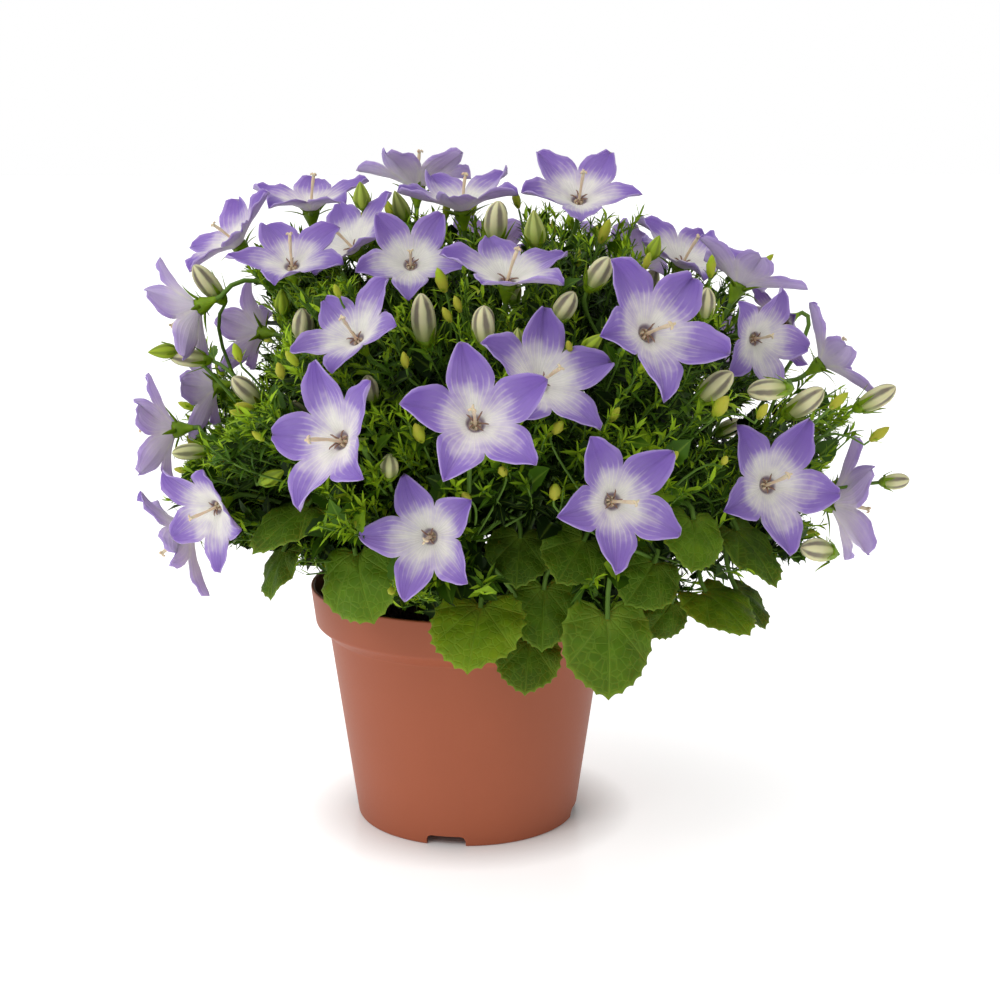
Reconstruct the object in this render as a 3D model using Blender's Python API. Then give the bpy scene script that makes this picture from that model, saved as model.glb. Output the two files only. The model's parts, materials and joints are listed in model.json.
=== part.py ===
"""A potted Italian bellflower: a plastic nursery pot filled with soil, leafy stems and star-shaped blooms.

The pot stands on z = 0 with its axis on Z, and -Y is the side that faces the viewer. Lengths are in metres.
"""
import math
import random

import bmesh
import bpy
import numpy as np
from mathutils import Matrix, Vector
from mathutils.bvhtree import BVHTree

MM = 0.001

# Gap left between two pieces that touch or pass close by
CLEAR = 0.3 * MM

# Joining a stem's pieces: a result with points nearer than the weld is joined again with the pieces nudged
FUSE_WELD = 0.002 * MM
FUSE_NUDGE = 0.02 * MM
FUSE_TRIES = 8

# Pot: a tapered nursery pot of 12 cm with a deep rim band and a foot skirt
POT_HEIGHT = 92 * MM
POT_RIM_RADIUS = 60 * MM
POT_BAND_DEPTH = 14.4 * MM
POT_BAND_TAPER = 1.8 * MM
POT_SHOULDER_DEPTH = 4.4 * MM
POT_NECK_RADIUS = 53 * MM
POT_FOOT_RADIUS = 42.8 * MM
POT_WALL = 1.5 * MM
POT_FLOOR_UNDERSIDE = 5 * MM
POT_SKIRT_WALL = 2 * MM
POT_CENTRE_PAD_RADIUS = 6 * MM
POT_SEGMENTS = 32
POT_EDGE = 0.8 * MM
NOTCH_COUNT = 4
NOTCH_WIDTH = 15 * MM
NOTCH_HEIGHT = 4 * MM
NOTCH_BEARING = -101
NOTCH_DEPTH = 5 * MM
CUT_PAST = 2 * MM
DRAIN_COUNT = 6
DRAIN_RADIUS = 3.5 * MM
DRAIN_RING_RADIUS = 27 * MM
DRAIN_SIDES = 6

# Soil: fills the pot to just under the rim and is slightly mounded
SOIL_EDGE_DEPTH = 9.5 * MM
SOIL_MOUND = 3 * MM
SOIL_SEGMENTS = 16
SOIL_RING_RADIUS = 35 * MM
SOIL_LIP = 0.5 * MM
HOLE_RADIUS = 2.5 * MM
HOLE_DEPTH = 12 * MM
HOLE_SIDES = 5

# Foliage: one clump of leaves at the end of each leafy stem, in three tiers round the dome's axis
DOME_CENTRE = Vector((27 * MM, -5 * MM, 0))
LOWER_TIER = {"count": 10, "spread": (85 * MM, 76 * MM), "height": 124 * MM, "turn": 0, "root": 41 * MM}
UPPER_TIER = {"count": 5, "spread": (57 * MM, 51 * MM), "height": 174 * MM, "turn": 18, "root": 19 * MM}
TOP_TIER = {"count": 1, "spread": (0, 0), "height": 203 * MM, "turn": 0, "root": 0}
LOWER_CORE = Vector((20.5, 20.5, 24)) * MM
UPPER_CORE = Vector((22, 22, 19)) * MM
CORE_LUMPS = (0.86, 1.0)
CORE_SHARE_STEP = 0.05
CORE_SHARE_LEAST = 0.4
OUTWARD_LEVEL = 105 * MM
STEM_RADIUS = 1.6 * MM
STEM_SIDES = 4
STEM_NECK = 6 * MM
STEM_BEND_ASIDE = 0.25
STEM_BEND_HEIGHT = 0.85
BEND_STEPS = 4
STALK_RADIUS = 0.95 * MM
STALK_SIDES = 3
STALK_NECK = 2.2 * MM
STALK_TAPER = 0.75
STALK_CHOICES = 5

# Bends to try for a stalk, in mm: how far it runs straight back first, and how far it swings aside
STALK_REACHES = (10, 5, 16, 24, 34)
STALK_SWINGS = (0, 12, -12, 24, -24)

# Small leaves on the clumps
SMALL_LEAF_LENGTH = (16 * MM, 21 * MM)
SMALL_LEAF_WIDTH = (7.5 * MM, 10 * MM)
SMALL_LEAF_THICKNESS = 0.9 * MM
SMALL_LEAVES_PER_CLUMP = 24
SMALL_LEAF_WIDEST = 0.48
SMALL_LEAF_SPOKES = 70
SMALL_LEAF_TRIES = 8
SMALL_LEAF_SEAT = 0.74
SMALL_LEAF_TILT = (0.3, 0.9)
SMALL_LEAF_SEED = 100
SMALL_LEAF_INWARD = -0.2
SMALL_LEAF_SHRINK = 0.06
SMALL_LEAF_ROOT = 0.2
SMALL_LEAF_STEEPEST = 0.93
SMALL_LEAF_FACING = Vector((0.5, 0.3, 0.3))

# Large heart-shaped leaves with scalloped edges
LARGE_LEAF_TEETH = 12
LARGE_LEAF_INNER_POINTS = 8
LARGE_LEAF_THICKNESS = 0.9 * MM
LARGE_LEAF_TOOTH = 0.06
LARGE_LEAF_SAG = 0.10
LARGE_LEAF_WAVE = 0.05
LARGE_LEAF_HEART = 0.30
LARGE_LEAF_POINT = 0.10
LARGE_LEAF_MIDDLE = 0.42
LARGE_LEAF_RADIUS = 0.58
LARGE_LEAF_STALK_REACHES = (8, 14, 4, 20, 28)
LARGE_LEAF_STALK_LIFT = 6 * MM
LARGE_LEAF_JOINT = 0.12
LARGE_LEAF_STEMS = 3
LARGE_LEAF_OUTWARD = 0.8
LARGE_LEAF_UPWARD = 0.6

# Moves to try for a bud or a large leaf that has no room where it should stand
SHIFT_LENGTHS = (2 * MM, 4 * MM, 6 * MM, 9 * MM)

# Buds longer than this have one more ring of points
LARGE_BUD = 12.5 * MM

# Bloom: a five-lobed star, its lengths for a bloom 45 mm across
LOBES = 5
BLOOM_TIP_RADIUS = 22.5
BLOOM_TIP_RISE = 7.0
BLOOM_NOTCH_RADIUS = 9.5
BLOOM_NOTCH_RISE = 3.6
BLOOM_RIB_RADIUS = 12.5
BLOOM_RIB_RISE = 4.2
BLOOM_THICKNESS = 1.1
BLOOM_TUBE_RADIUS = 4.5
BLOOM_TUBE_DROP = 3.5
BLOOM_FOOT_RADIUS = 2.2
BLOOM_FOOT_DROP = 8.0
BLOOM_STYLE_RADIUS = 1.0
BLOOM_STYLE_LENGTH = 15.0

# Blooms that show from the front: throat x, y, z in mm, bearing and rise of the facing, turn, size
# Bearing 0 faces -Y and grows towards +X
FRONT_BLOOMS = [
    (-60, 35, 233, -18, 80, 35, 1.07),
    (-19, 46, 241, 180, 75, 64, 1.10),
    (-1, -2, 235, -27, 80, 1, 1.06),
    (41, -22, 239, 3, 55, 53, 1.02),
    (-61, -40, 217, -10, 59, 50, 0.99),
    (-41, -13, 221, -53, 51, 70, 1.04),
    (-88, 26, 220, -70, 50, 0, 1.00),
    (-99, -12, 199, -100, -25, 32, 1.05),
    (-36, -87, 197, -40, 48, 6, 0.96),
    (-19, -47, 218, 0, 40, 54, 0.90),
    (14, -74, 215, 10, 70, 22, 1.04),
    (59, -97, 200, 31, 28, 40, 1.17),
    (84, 24, 212, 40, 64, 28, 1.12),
    (101, -14, 208, 120, 60, 9, 1.05),
    (104, -34, 190, 30, 0, 65, 0.90),
    (126, 34, 188, -60, -20, 24, 0.90),
    (134, -8, 178, 91, 36, 24, 0.97),
    (3, -129, 176, 8, 33, 24, 1.09),
    (24, -100, 184, 32, 38, 4, 1.11),
    (-40, -114, 168, -45, 22, 44, 1.14),
    (-111, -3, 152, -98, -7, 38, 1.04),
    (-97, 13, 166, -102, -11, 11, 0.96),
    (-88, -58, 134, -41, -15, 67, 0.97),
    (-105, -12, 115, -79, -32, 4, 1.13),
    (-12, -104, 134, -22, 9, 39, 0.98),
    (47, -115, 148, 22, 12, 42, 1.05),
    (104, -71, 144, 23, 15, 55, 1.12),
    (139, -13, 125, 93, 0, 70, 1.15),
    (-82, 38, 184, -115, 5, 20, 0.92),
]

# Blooms of the back, in rows round the dome: height angle, then bearings counted from +X towards +Y
BACK_BLOOM_ROWS = [
    (50, (60, 104)),
    (25, (50, 88, 128)),
    (-3, (40, 66, 92, 118, 144)),
]
BACK_BLOOM_DOME = Vector((116, 103, 120)) * MM
BACK_BLOOM_LEVEL = 118 * MM
BACK_BLOOM_SEED = 11
BACK_BLOOM_STRAY = 4
BACK_BLOOM_SWING = 15
BACK_BLOOM_RISE = 14
BACK_BLOOM_RISE_SHARE = 0.7
BACK_BLOOM_NOD = 12
BACK_BLOOM_SIZE = (0.98, 1.10)
LOBE_ANGLE = 360 / LOBES

# Buds: foot x, y, z in mm, lean of the bud counted from +X towards +Z, length and radius in mm
BUDS = [
    (-95, -12, 208, 125, 17, 4.0),
    (-102, -14, 181, 170, 14, 3.6),
    (-57, -45, 196, 90, 14, 4.2),
    (-79, -35, 172, 130, 14, 3.8),
    (-101, -27, 148, 180, 13, 3.2),
    (-14, -75, 202, 95, 19, 4.4),
    (6, -92, 202, 90, 14, 4.0),
    (33, -82, 207, 60, 12, 3.8),
    (45, -70, 217, 60, 13, 4.0),
    (83, -88, 181, 45, 15, 4.2),
    (102, -77, 178, 180, 15, 4.0),
    (117, -65, 172, 40, 16, 4.2),
    (151, -22, 167, 35, 16, 4.0),
    (121, -76, 122, 165, 13, 4.2),
    (24, -52, 231, 95, 13, 4.0),
    (11, -41, 232, 85, 16, 4.4),
    (-20, -4, 236, 110, 12, 3.4),
    (82, -66, 206, 90, 12, 3.2),
    (-32, -84, 180, 100, 10, 3.2),
    (-25, -101, 157, 90, 9, 3.2),
    (155, -26, 136, 10, 10, 3.2),
    (17, -90, 196, 90, 11, 3.6),
    (-67, -16, 202, 90, 10, 3.0),
    (-38, -6, 236, 95, 10, 3.4),
    (-111, -20, 184, 180, 10, 3.0),
    (-66, -72, 148, 30, 10, 3.0),
    (42, -90, 196, 45, 9, 2.8),
    (66, -47, 224, 70, 9, 2.8),
    (76, 66, 200, 70, 13, 3.8),
    (20, 84, 196, 95, 14, 4.0),
    (-36, 72, 190, 110, 12, 3.6),
    (110, 66, 140, 20, 13, 3.8),
    (48, 98, 148, 60, 12, 3.6),
    (-8, 94, 140, 120, 13, 3.8),
    (-66, 58, 150, 150, 12, 3.6),
]
BUD_TOWARDS_VIEWER = 0.35
BUD_BACK_FROM = 20

# Large leaves: the point where the stalk joins, then the leaf's tip, x, y, z in mm
LARGE_LEAVES = [
    ((-54, -66, 137), (-73, -80, 124)),
    ((-65, -50, 117), (-71, -60, 102)),
    ((-39, -66, 120), (-33, -82, 99)),
    ((5, -78, 104), (0, -97, 86)),
    ((22, -72, 89), (20, -82, 73)),
    ((48, -85, 102), (49, -94, 75)),
    ((27, -70, 108), (26, -80, 88)),
    ((41, -74, 126), (31, -86, 114)),
    ((19, -64, 125), (17, -74, 109)),
    ((66, -70, 117), (55, -82, 105)),
    ((73, -62, 100), (63, -70, 90)),
    ((83, -68, 106), (98, -82, 95)),
    ((96, -54, 103), (107, -62, 91)),
    ((94, -66, 128), (108, -78, 111)),
    ((77, -84, 136), (76, -98, 121)),
    ((116, 24, 118), (128, 30, 102)),
    ((110, 56, 110), (122, 68, 92)),
    ((72, 78, 106), (78, 94, 84)),
    ((22, 84, 106), (20, 100, 84)),
    ((-28, 68, 106), (-36, 84, 86)),
    ((-66, 34, 106), (-80, 44, 88)),
]

SOIL_BROWN = "2B211A"
LEAF_GREEN = "4C7F1D"
POT_TERRACOTTA = "A5624A"
PETAL_VIOLET = "9B82D8"


def clear_scene():
    """Remove every object that the scene starts with."""
    for item in list(bpy.data.objects):
        bpy.data.objects.remove(item, do_unlink=True)


def linear(channel):
    """Turn one sRGB channel, 0 to 1, to linear."""
    if channel <= 0.04045:
        return channel / 12.92
    return ((channel + 0.055) / 1.055) ** 2.4


def material(name, colour, roughness, metallic=0.0):
    """A plain material with an sRGB hex colour."""
    made = bpy.data.materials.new(name)
    made.use_nodes = True
    shader = made.node_tree.nodes["Principled BSDF"]
    channels = [linear(int(colour[i:i + 2], 16) / 255) for i in (0, 2, 4)]
    shader.inputs["Base Color"].default_value = (*channels, 1.0)
    shader.inputs["Roughness"].default_value = roughness
    shader.inputs["Metallic"].default_value = metallic
    return made


def new_object(name, verts, faces, surface=None):
    """Make a mesh object from points and faces."""
    mesh = bpy.data.meshes.new(name)
    mesh.from_pydata([tuple(v) for v in verts], [], [tuple(f) for f in faces])
    mesh.update()
    made = bpy.data.objects.new(name, mesh)
    bpy.context.scene.collection.objects.link(made)
    if surface:
        mesh.materials.append(surface)
    return made


def bearing_point(bearing, radius, height=0.0):
    """A point at a bearing in degrees, counted from +X towards +Y."""
    angle = math.radians(bearing)
    return Vector((radius * math.cos(angle), radius * math.sin(angle), height))


class Piece:
    """A small closed solid of triangles that belongs to one node."""

    def __init__(self, verts, faces):
        self.verts = [Vector(v) for v in verts]
        self.faces = [tuple(f) for f in faces]
        low = Vector([min(v[i] for v in self.verts) for i in range(3)])
        high = Vector([max(v[i] for v in self.verts) for i in range(3)])
        self.centre = (low + high) / 2
        self.reach = max((v - self.centre).length for v in self.verts)
        self.tree = BVHTree.FromPolygons(self.verts, self.faces)
        self.is_core = False


class Occupied:
    """The solids that are already in place, with the node that each belongs to."""

    LIMIT = 6000

    def __init__(self):
        self.pieces = []
        self.owners = []
        self.centres = np.zeros((self.LIMIT, 3))
        self.reaches = np.zeros(self.LIMIT)
        self.owner_ids = np.zeros(self.LIMIT, dtype=int)
        self.names = {}
        self.cores = []

    def add(self, owner, piece):
        """Keep a piece, so that later ones stay clear of it."""
        index = len(self.pieces)
        self.pieces.append(piece)
        self.owners.append(owner)
        self.centres[index] = piece.centre
        self.reaches[index] = piece.reach
        self.owner_ids[index] = self.names.setdefault(owner, len(self.names))

    def is_clear(self, owner, grown, seat=None):
        """True where a piece, grown by the gap, meets no piece of another node but the one it seats on."""
        count = len(self.pieces)
        own_id = self.names.setdefault(owner, len(self.names))
        away = np.linalg.norm(self.centres[:count] - np.array(grown.centre), axis=1)
        near = (away < self.reaches[:count] + grown.reach) & (self.owner_ids[:count] != own_id)
        for index in np.nonzero(near)[0]:
            if self.owners[index] != seat and grown.tree.overlap(self.pieces[index].tree):
                return False
        for core_owner, centre, radii in self.cores:
            if core_owner == owner:
                continue
            for point in grown.verts:
                offset = point - centre
                if sum((offset[i] / radii[i]) ** 2 for i in range(3)) < 1:
                    return False
        return True

    def crosses_own(self, owner, piece):
        """True where a piece meets another piece of its own node, apart from the core."""
        count = len(self.pieces)
        own_id = self.names.get(owner, -1)
        away = np.linalg.norm(self.centres[:count] - np.array(piece.centre), axis=1)
        near = (away < self.reaches[:count] + piece.reach) & (self.owner_ids[:count] == own_id)
        for index in np.nonzero(near)[0]:
            if not self.pieces[index].is_core and piece.tree.overlap(self.pieces[index].tree):
                return True
        return False


def tube_piece(points, radii, sides, grow=0.0):
    """A closed tube along a row of points, with flat ends."""
    verts = []
    faces = []
    count = len(points)
    tangent = (points[1] - points[0]).normalized()
    across = tangent.orthogonal().normalized()
    for row in range(count):
        ahead = points[min(row + 1, count - 1)] - points[max(row - 1, 0)]
        new_tangent = ahead.normalized()
        turn = tangent.rotation_difference(new_tangent)
        across = (turn @ across).normalized()
        tangent = new_tangent
        third = tangent.cross(across)
        end_shift = 0.0
        if row == 0:
            end_shift = -grow
        if row == count - 1:
            end_shift = grow
        middle = points[row] + tangent * end_shift
        for side in range(sides):
            angle = 2 * math.pi * side / sides
            spoke = across * math.cos(angle) + third * math.sin(angle)
            verts.append(middle + spoke * (radii[row] + grow * 1.5))
    for row in range(count - 1):
        for side in range(sides):
            a = row * sides + side
            b = row * sides + (side + 1) % sides
            c = b + sides
            d = a + sides
            faces.append((a, b, c))
            faces.append((a, c, d))
    for side in range(1, sides - 1):
        faces.append((0, side + 1, side))
        last = (count - 1) * sides
        faces.append((last, last + side, last + side + 1))
    return Piece(verts, faces)


def bend_points(start, control, end, count):
    """Points along a smooth bend from start to end, drawn towards control."""
    points = []
    for step in range(count):
        t = step / (count - 1)
        points.append(start * (1 - t) ** 2 + control * 2 * t * (1 - t) + end * t ** 2)
    return points


def facing_frame(bearing, rise, turn):
    """Axes of a bloom: its first lobe's direction, the direction a quarter turn on, and its facing."""
    a = math.radians(bearing)
    e = math.radians(rise)
    r = math.radians(turn)
    facing = Vector((math.sin(a) * math.cos(e), -math.cos(a) * math.cos(e), math.sin(e)))
    side = Vector((math.cos(a), math.sin(a), 0))
    upward = facing.cross(side)
    first = side * math.cos(r) + upward * math.sin(r)
    return first, facing.cross(first), facing


def bloom_piece(row):
    """A star-shaped bloom with a tube, a foot and a style, as one closed solid."""
    x, y, z, bearing, rise, turn, size = row
    first, second, facing = facing_frame(bearing, rise, turn)
    throat = Vector((x, y, z)) * MM
    scale = size * MM
    verts = []
    index = {}

    def add(name, angle, radius, height):
        theta = math.radians(angle)
        spoke = first * math.cos(theta) + second * math.sin(theta)
        index[name] = len(verts)
        verts.append(throat + (spoke * radius + facing * height) * scale)

    def add_on_lobe(name, angle, along, aside, height):
        add(name, angle + math.degrees(math.atan2(aside, along)), math.hypot(along, aside), height)

    for k in range(LOBES):
        angle = k * 360 / LOBES
        add(("style", k), angle, BLOOM_STYLE_RADIUS, -0.5)
        add(("rib", k), angle, BLOOM_RIB_RADIUS, BLOOM_RIB_RISE)
        add(("notch", k), angle + 36, BLOOM_NOTCH_RADIUS, BLOOM_NOTCH_RISE)
        add_on_lobe(("left", k), angle, 12.0, -6.6, 5.4)
        add_on_lobe(("right", k), angle, 12.0, 6.6, 5.4)
        add_on_lobe(("left_tip", k), angle, 17.6, -4.3, 6.8)
        add_on_lobe(("right_tip", k), angle, 17.6, 4.3, 6.8)
        add(("tip", k), angle, BLOOM_TIP_RADIUS, BLOOM_TIP_RISE)
        add(("back", k), angle, BLOOM_RIB_RADIUS, BLOOM_RIB_RISE - BLOOM_THICKNESS)
        add(("tube", k), angle, BLOOM_TUBE_RADIUS, -BLOOM_TUBE_DROP)
        add(("foot", k), angle, BLOOM_FOOT_RADIUS, -BLOOM_FOOT_DROP)
    add("stigma", 0, 0, BLOOM_STYLE_LENGTH)

    faces = []

    def face(*names):
        faces.append(tuple(index[name] for name in names))

    for k in range(LOBES):
        before = (k - 1) % LOBES
        after = (k + 1) % LOBES
        face(("style", k), ("notch", before), ("rib", k))
        face(("style", k), ("rib", k), ("notch", k))
        face(("style", k), ("notch", k), ("style", after))
        face(("notch", before), ("left", k), ("rib", k))
        face(("rib", k), ("right", k), ("notch", k))
        face(("left", k), ("left_tip", k), ("rib", k))
        face(("rib", k), ("right_tip", k), ("right", k))
        face(("left_tip", k), ("tip", k), ("rib", k))
        face(("rib", k), ("tip", k), ("right_tip", k))
        face(("style", k), ("style", after), "stigma")
        face(("tube", k), ("back", k), ("notch", before))
        face(("tube", k), ("notch", k), ("back", k))
        face(("tube", k), ("tube", after), ("notch", k))
        face(("notch", before), ("back", k), ("left", k))
        face(("back", k), ("notch", k), ("right", k))
        face(("left", k), ("back", k), ("left_tip", k))
        face(("back", k), ("right", k), ("right_tip", k))
        face(("left_tip", k), ("back", k), ("tip", k))
        face(("back", k), ("right_tip", k), ("tip", k))
        face(("foot", k), ("foot", after), ("tube", after))
        face(("foot", k), ("tube", after), ("tube", k))
    for k in range(1, LOBES - 1):
        face(("foot", 0), ("foot", k + 1), ("foot", k))
    return Piece(verts, faces)


def bloom_seat(row):
    """The point just under a bloom's foot where its stalk ends, and the bloom's facing."""
    x, y, z, bearing, rise, turn, size = row
    facing = facing_frame(bearing, rise, turn)[2]
    seat = Vector((x, y, z)) * MM - facing * (BLOOM_FOOT_DROP * size * MM + CLEAR)
    return seat, facing


def blade_piece(base, direction, normal, length, width, grow=0.0):
    """A small pointed leaf with four faces: a ridge along its top and its widest line below."""
    thick = SMALL_LEAF_THICKNESS + grow * 3
    side = direction.cross(normal).normalized()
    up = side.cross(direction).normalized()
    ridge = up * (thick / 2)
    middle = base + direction * (length * SMALL_LEAF_WIDEST)
    half = side * (width / 2 + grow * 1.5)
    verts = [
        base - direction * grow + ridge,
        base + direction * (length + grow * 2) + ridge,
        middle - half - ridge,
        middle + half - ridge,
    ]
    faces = [(0, 1, 2), (1, 0, 3), (2, 1, 3), (0, 2, 3)]
    return Piece(verts, faces)


def large_leaf_piece(attach, direction, normal, length, grow=0.0):
    """A heart-shaped leaf with a scalloped edge, domed and a little waved, thinning to its edge."""
    side = direction.cross(normal).normalized()
    up = side.cross(direction).normalized()
    middle = attach + direction * (length * LARGE_LEAF_MIDDLE)
    radius = length * LARGE_LEAF_RADIUS
    count = LARGE_LEAF_TEETH * 2
    inner = LARGE_LEAF_INNER_POINTS

    def edge_radius(angle):
        back = math.cos(angle - math.pi)
        notch = LARGE_LEAF_HEART * max(0.0, back) ** 24
        point = LARGE_LEAF_POINT * max(0.0, -back) ** 6
        return radius * (1.0 - notch + point)

    def place(angle, reach, height):
        x = math.cos(angle) * reach
        y = math.sin(angle) * reach
        outward = radius * (reach / radius) ** 2
        sag = -LARGE_LEAF_SAG * outward
        wave = LARGE_LEAF_WAVE * outward * math.cos(5 * angle)
        return middle + direction * x + side * y + up * (sag + wave + height)

    half = LARGE_LEAF_THICKNESS / 2 + grow * 1.5
    verts = [place(0, 0, half), place(0, 0, -half)]
    for layer in (half * 0.9, -half * 0.9):
        for k in range(inner):
            angle = 2 * math.pi * k / inner
            verts.append(place(angle, edge_radius(angle) * 0.55, layer))
    for k in range(count):
        angle = 2 * math.pi * (k + 0.5) / count
        tooth = LARGE_LEAF_TOOTH if k % 2 else -LARGE_LEAF_TOOTH
        verts.append(place(angle, edge_radius(angle) * (1 + tooth) + grow * 1.5, 0))
    top = 2
    low = 2 + inner
    edge = 2 + 2 * inner
    faces = []
    per = count // inner
    for k in range(inner):
        after = (k + 1) % inner
        faces.append((0, top + k, top + after))
        faces.append((1, low + after, low + k))
        for j in range(per):
            a = edge + (k * per + j - per // 2) % count
            b = edge + (k * per + j + 1 - per // 2) % count
            faces.append((top + k, a, b))
            faces.append((low + k, b, a))
        turn_point = edge + (k * per + per - per // 2) % count
        faces.append((top + k, turn_point, top + after))
        faces.append((low + k, low + after, turn_point))
    return Piece(verts, faces)


def bud_piece(base, direction, length, radius, grow=0.0):
    """A five-sided bud, narrow at its foot and pointed at its end."""
    across = direction.orthogonal().normalized()
    third = direction.cross(across)
    rings = ((0.0, 0.35), (0.38, 1.0), (0.72, 0.72)) if length > LARGE_BUD else ((0.0, 0.4), (0.45, 1.0))
    verts = []
    for along, share in rings:
        for k in range(LOBES):
            angle = 2 * math.pi * k / LOBES
            spoke = across * math.cos(angle) + third * math.sin(angle)
            verts.append(base + direction * (length * along) + spoke * (radius * share + grow * 1.5))
    verts.append(base + direction * (length + grow * 2))
    faces = []
    for row in range(len(rings) - 1):
        for k in range(LOBES):
            a = row * LOBES + k
            b = row * LOBES + (k + 1) % LOBES
            faces.append((a, b, b + LOBES))
            faces.append((a, b + LOBES, a + LOBES))
    last = (len(rings) - 1) * LOBES
    for k in range(LOBES):
        faces.append((last + k, last + (k + 1) % LOBES, len(verts) - 1))
    for k in range(1, LOBES - 1):
        faces.append((0, k + 1, k))
    return Piece(verts, faces)


def sphere_points(count):
    """Even directions over a sphere."""
    golden = math.pi * (3 - math.sqrt(5))
    points = []
    for k in range(count):
        height = 1 - 2 * (k + 0.5) / count
        reach = math.sqrt(1 - height * height)
        points.append(Vector((math.cos(golden * k) * reach, math.sin(golden * k) * reach, height)))
    return points


def revolved(name, profile, segments, surface):
    """Turn a profile of radius and height points, from axis to axis, round Z."""
    verts = [Vector((0, 0, profile[0][1]))]
    for radius, height in profile[1:-1]:
        for k in range(segments):
            verts.append(bearing_point(360 * k / segments, radius, height))
    verts.append(Vector((0, 0, profile[-1][1])))
    faces = []
    rings = len(profile) - 2
    end = len(verts) - 1
    for k in range(segments):
        after = (k + 1) % segments
        faces.append((0, 1 + after, 1 + k))
        for ring in range(rings - 1):
            low = 1 + ring * segments
            faces.append((low + k, low + after, low + segments + after, low + segments + k))
        last = 1 + (rings - 1) * segments
        faces.append((last + k, last + after, end))
    return new_object(name, verts, faces, surface)


def apply_modifiers(item):
    """Swap an object's mesh for its evaluated one."""
    graph = bpy.context.evaluated_depsgraph_get()
    graph.update()
    mesh = bpy.data.meshes.new_from_object(item.evaluated_get(graph))
    old = item.data
    item.modifiers.clear()
    item.data = mesh
    bpy.data.meshes.remove(old)


def join_with(item, others, operation, solver="EXACT"):
    """Cut a list of objects out of an object, or join them to it, and remove them."""
    group = bpy.data.collections.new("operands")
    bpy.context.scene.collection.children.link(group)
    for other in others:
        bpy.context.scene.collection.objects.unlink(other)
        group.objects.link(other)
    change = item.modifiers.new("join", "BOOLEAN")
    change.operation = operation
    change.operand_type = "COLLECTION"
    change.collection = group
    change.solver = solver
    apply_modifiers(item)
    for other in others:
        mesh = other.data
        bpy.data.objects.remove(other, do_unlink=True)
        bpy.data.meshes.remove(mesh)
    bpy.data.collections.remove(group)


def box_object(name, centre, size, bearing):
    """A box turned about Z."""
    verts = []
    turn = Matrix.Rotation(math.radians(bearing), 3, "Z")
    for x in (-0.5, 0.5):
        for y in (-0.5, 0.5):
            for z in (-0.5, 0.5):
                verts.append(centre + turn @ Vector((x * size[0], y * size[1], z * size[2])))
    faces = [(0, 1, 3, 2), (4, 6, 7, 5), (0, 4, 5, 1), (2, 3, 7, 6), (0, 2, 6, 4), (1, 5, 7, 3)]
    return new_object(name, verts, faces)


def piece_object(name, piece, surface=None):
    """Make an object of one piece."""
    return new_object(name, piece.verts, piece.faces, surface)


def make_pot():
    """The nursery pot: band, shoulder, tapered wall, raised floor with drain holes, notched foot skirt."""
    band_low = POT_HEIGHT - POT_BAND_DEPTH
    shoulder_low = band_low - POT_SHOULDER_DEPTH
    floor_top = POT_FLOOR_UNDERSIDE + POT_WALL
    profile = [
        (0, 0),
        (POT_CENTRE_PAD_RADIUS, 0),
        (POT_CENTRE_PAD_RADIUS + POT_EDGE, POT_FLOOR_UNDERSIDE),
        (POT_FOOT_RADIUS - POT_SKIRT_WALL - POT_EDGE, POT_FLOOR_UNDERSIDE),
        (POT_FOOT_RADIUS - POT_SKIRT_WALL, 0),
        (POT_FOOT_RADIUS - POT_EDGE, 0),
        (POT_FOOT_RADIUS, POT_EDGE),
        (POT_NECK_RADIUS, shoulder_low),
        (POT_RIM_RADIUS - POT_BAND_TAPER, band_low),
        (POT_RIM_RADIUS, POT_HEIGHT - POT_EDGE),
        (POT_RIM_RADIUS - POT_EDGE, POT_HEIGHT),
        (POT_RIM_RADIUS - POT_WALL, POT_HEIGHT),
        (POT_RIM_RADIUS - POT_BAND_TAPER - POT_WALL, band_low + POT_EDGE),
        (POT_NECK_RADIUS - POT_WALL, shoulder_low + POT_EDGE),
        (POT_FOOT_RADIUS - POT_WALL, floor_top),
        (0, floor_top),
    ]
    pot = revolved("pot", profile, POT_SEGMENTS, material("pot", POT_TERRACOTTA, 0.5))
    cutters = []
    for k in range(NOTCH_COUNT):
        bearing = NOTCH_BEARING + k * 360 / NOTCH_COUNT
        centre = bearing_point(bearing, POT_FOOT_RADIUS - POT_SKIRT_WALL / 2)
        cutters.append(box_object("notch", centre, (NOTCH_DEPTH, NOTCH_WIDTH, 2 * NOTCH_HEIGHT), bearing))
    for k in range(DRAIN_COUNT):
        foot = bearing_point(NOTCH_BEARING + (k + 0.5) * 360 / DRAIN_COUNT, DRAIN_RING_RADIUS)
        low = foot + Vector((0, 0, POT_FLOOR_UNDERSIDE - CUT_PAST))
        high = foot + Vector((0, 0, floor_top + CUT_PAST))
        cutters.append(piece_object("drain", tube_piece([low, high], [DRAIN_RADIUS] * 2, DRAIN_SIDES)))
    join_with(pot, cutters, "DIFFERENCE")
    return pot


def soil_height(radius):
    """Height of the soil's surface at a distance from the pot's axis."""
    edge_height = POT_HEIGHT - SOIL_EDGE_DEPTH
    return edge_height + SOIL_MOUND * (1 - radius / POT_RIM_RADIUS)


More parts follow.
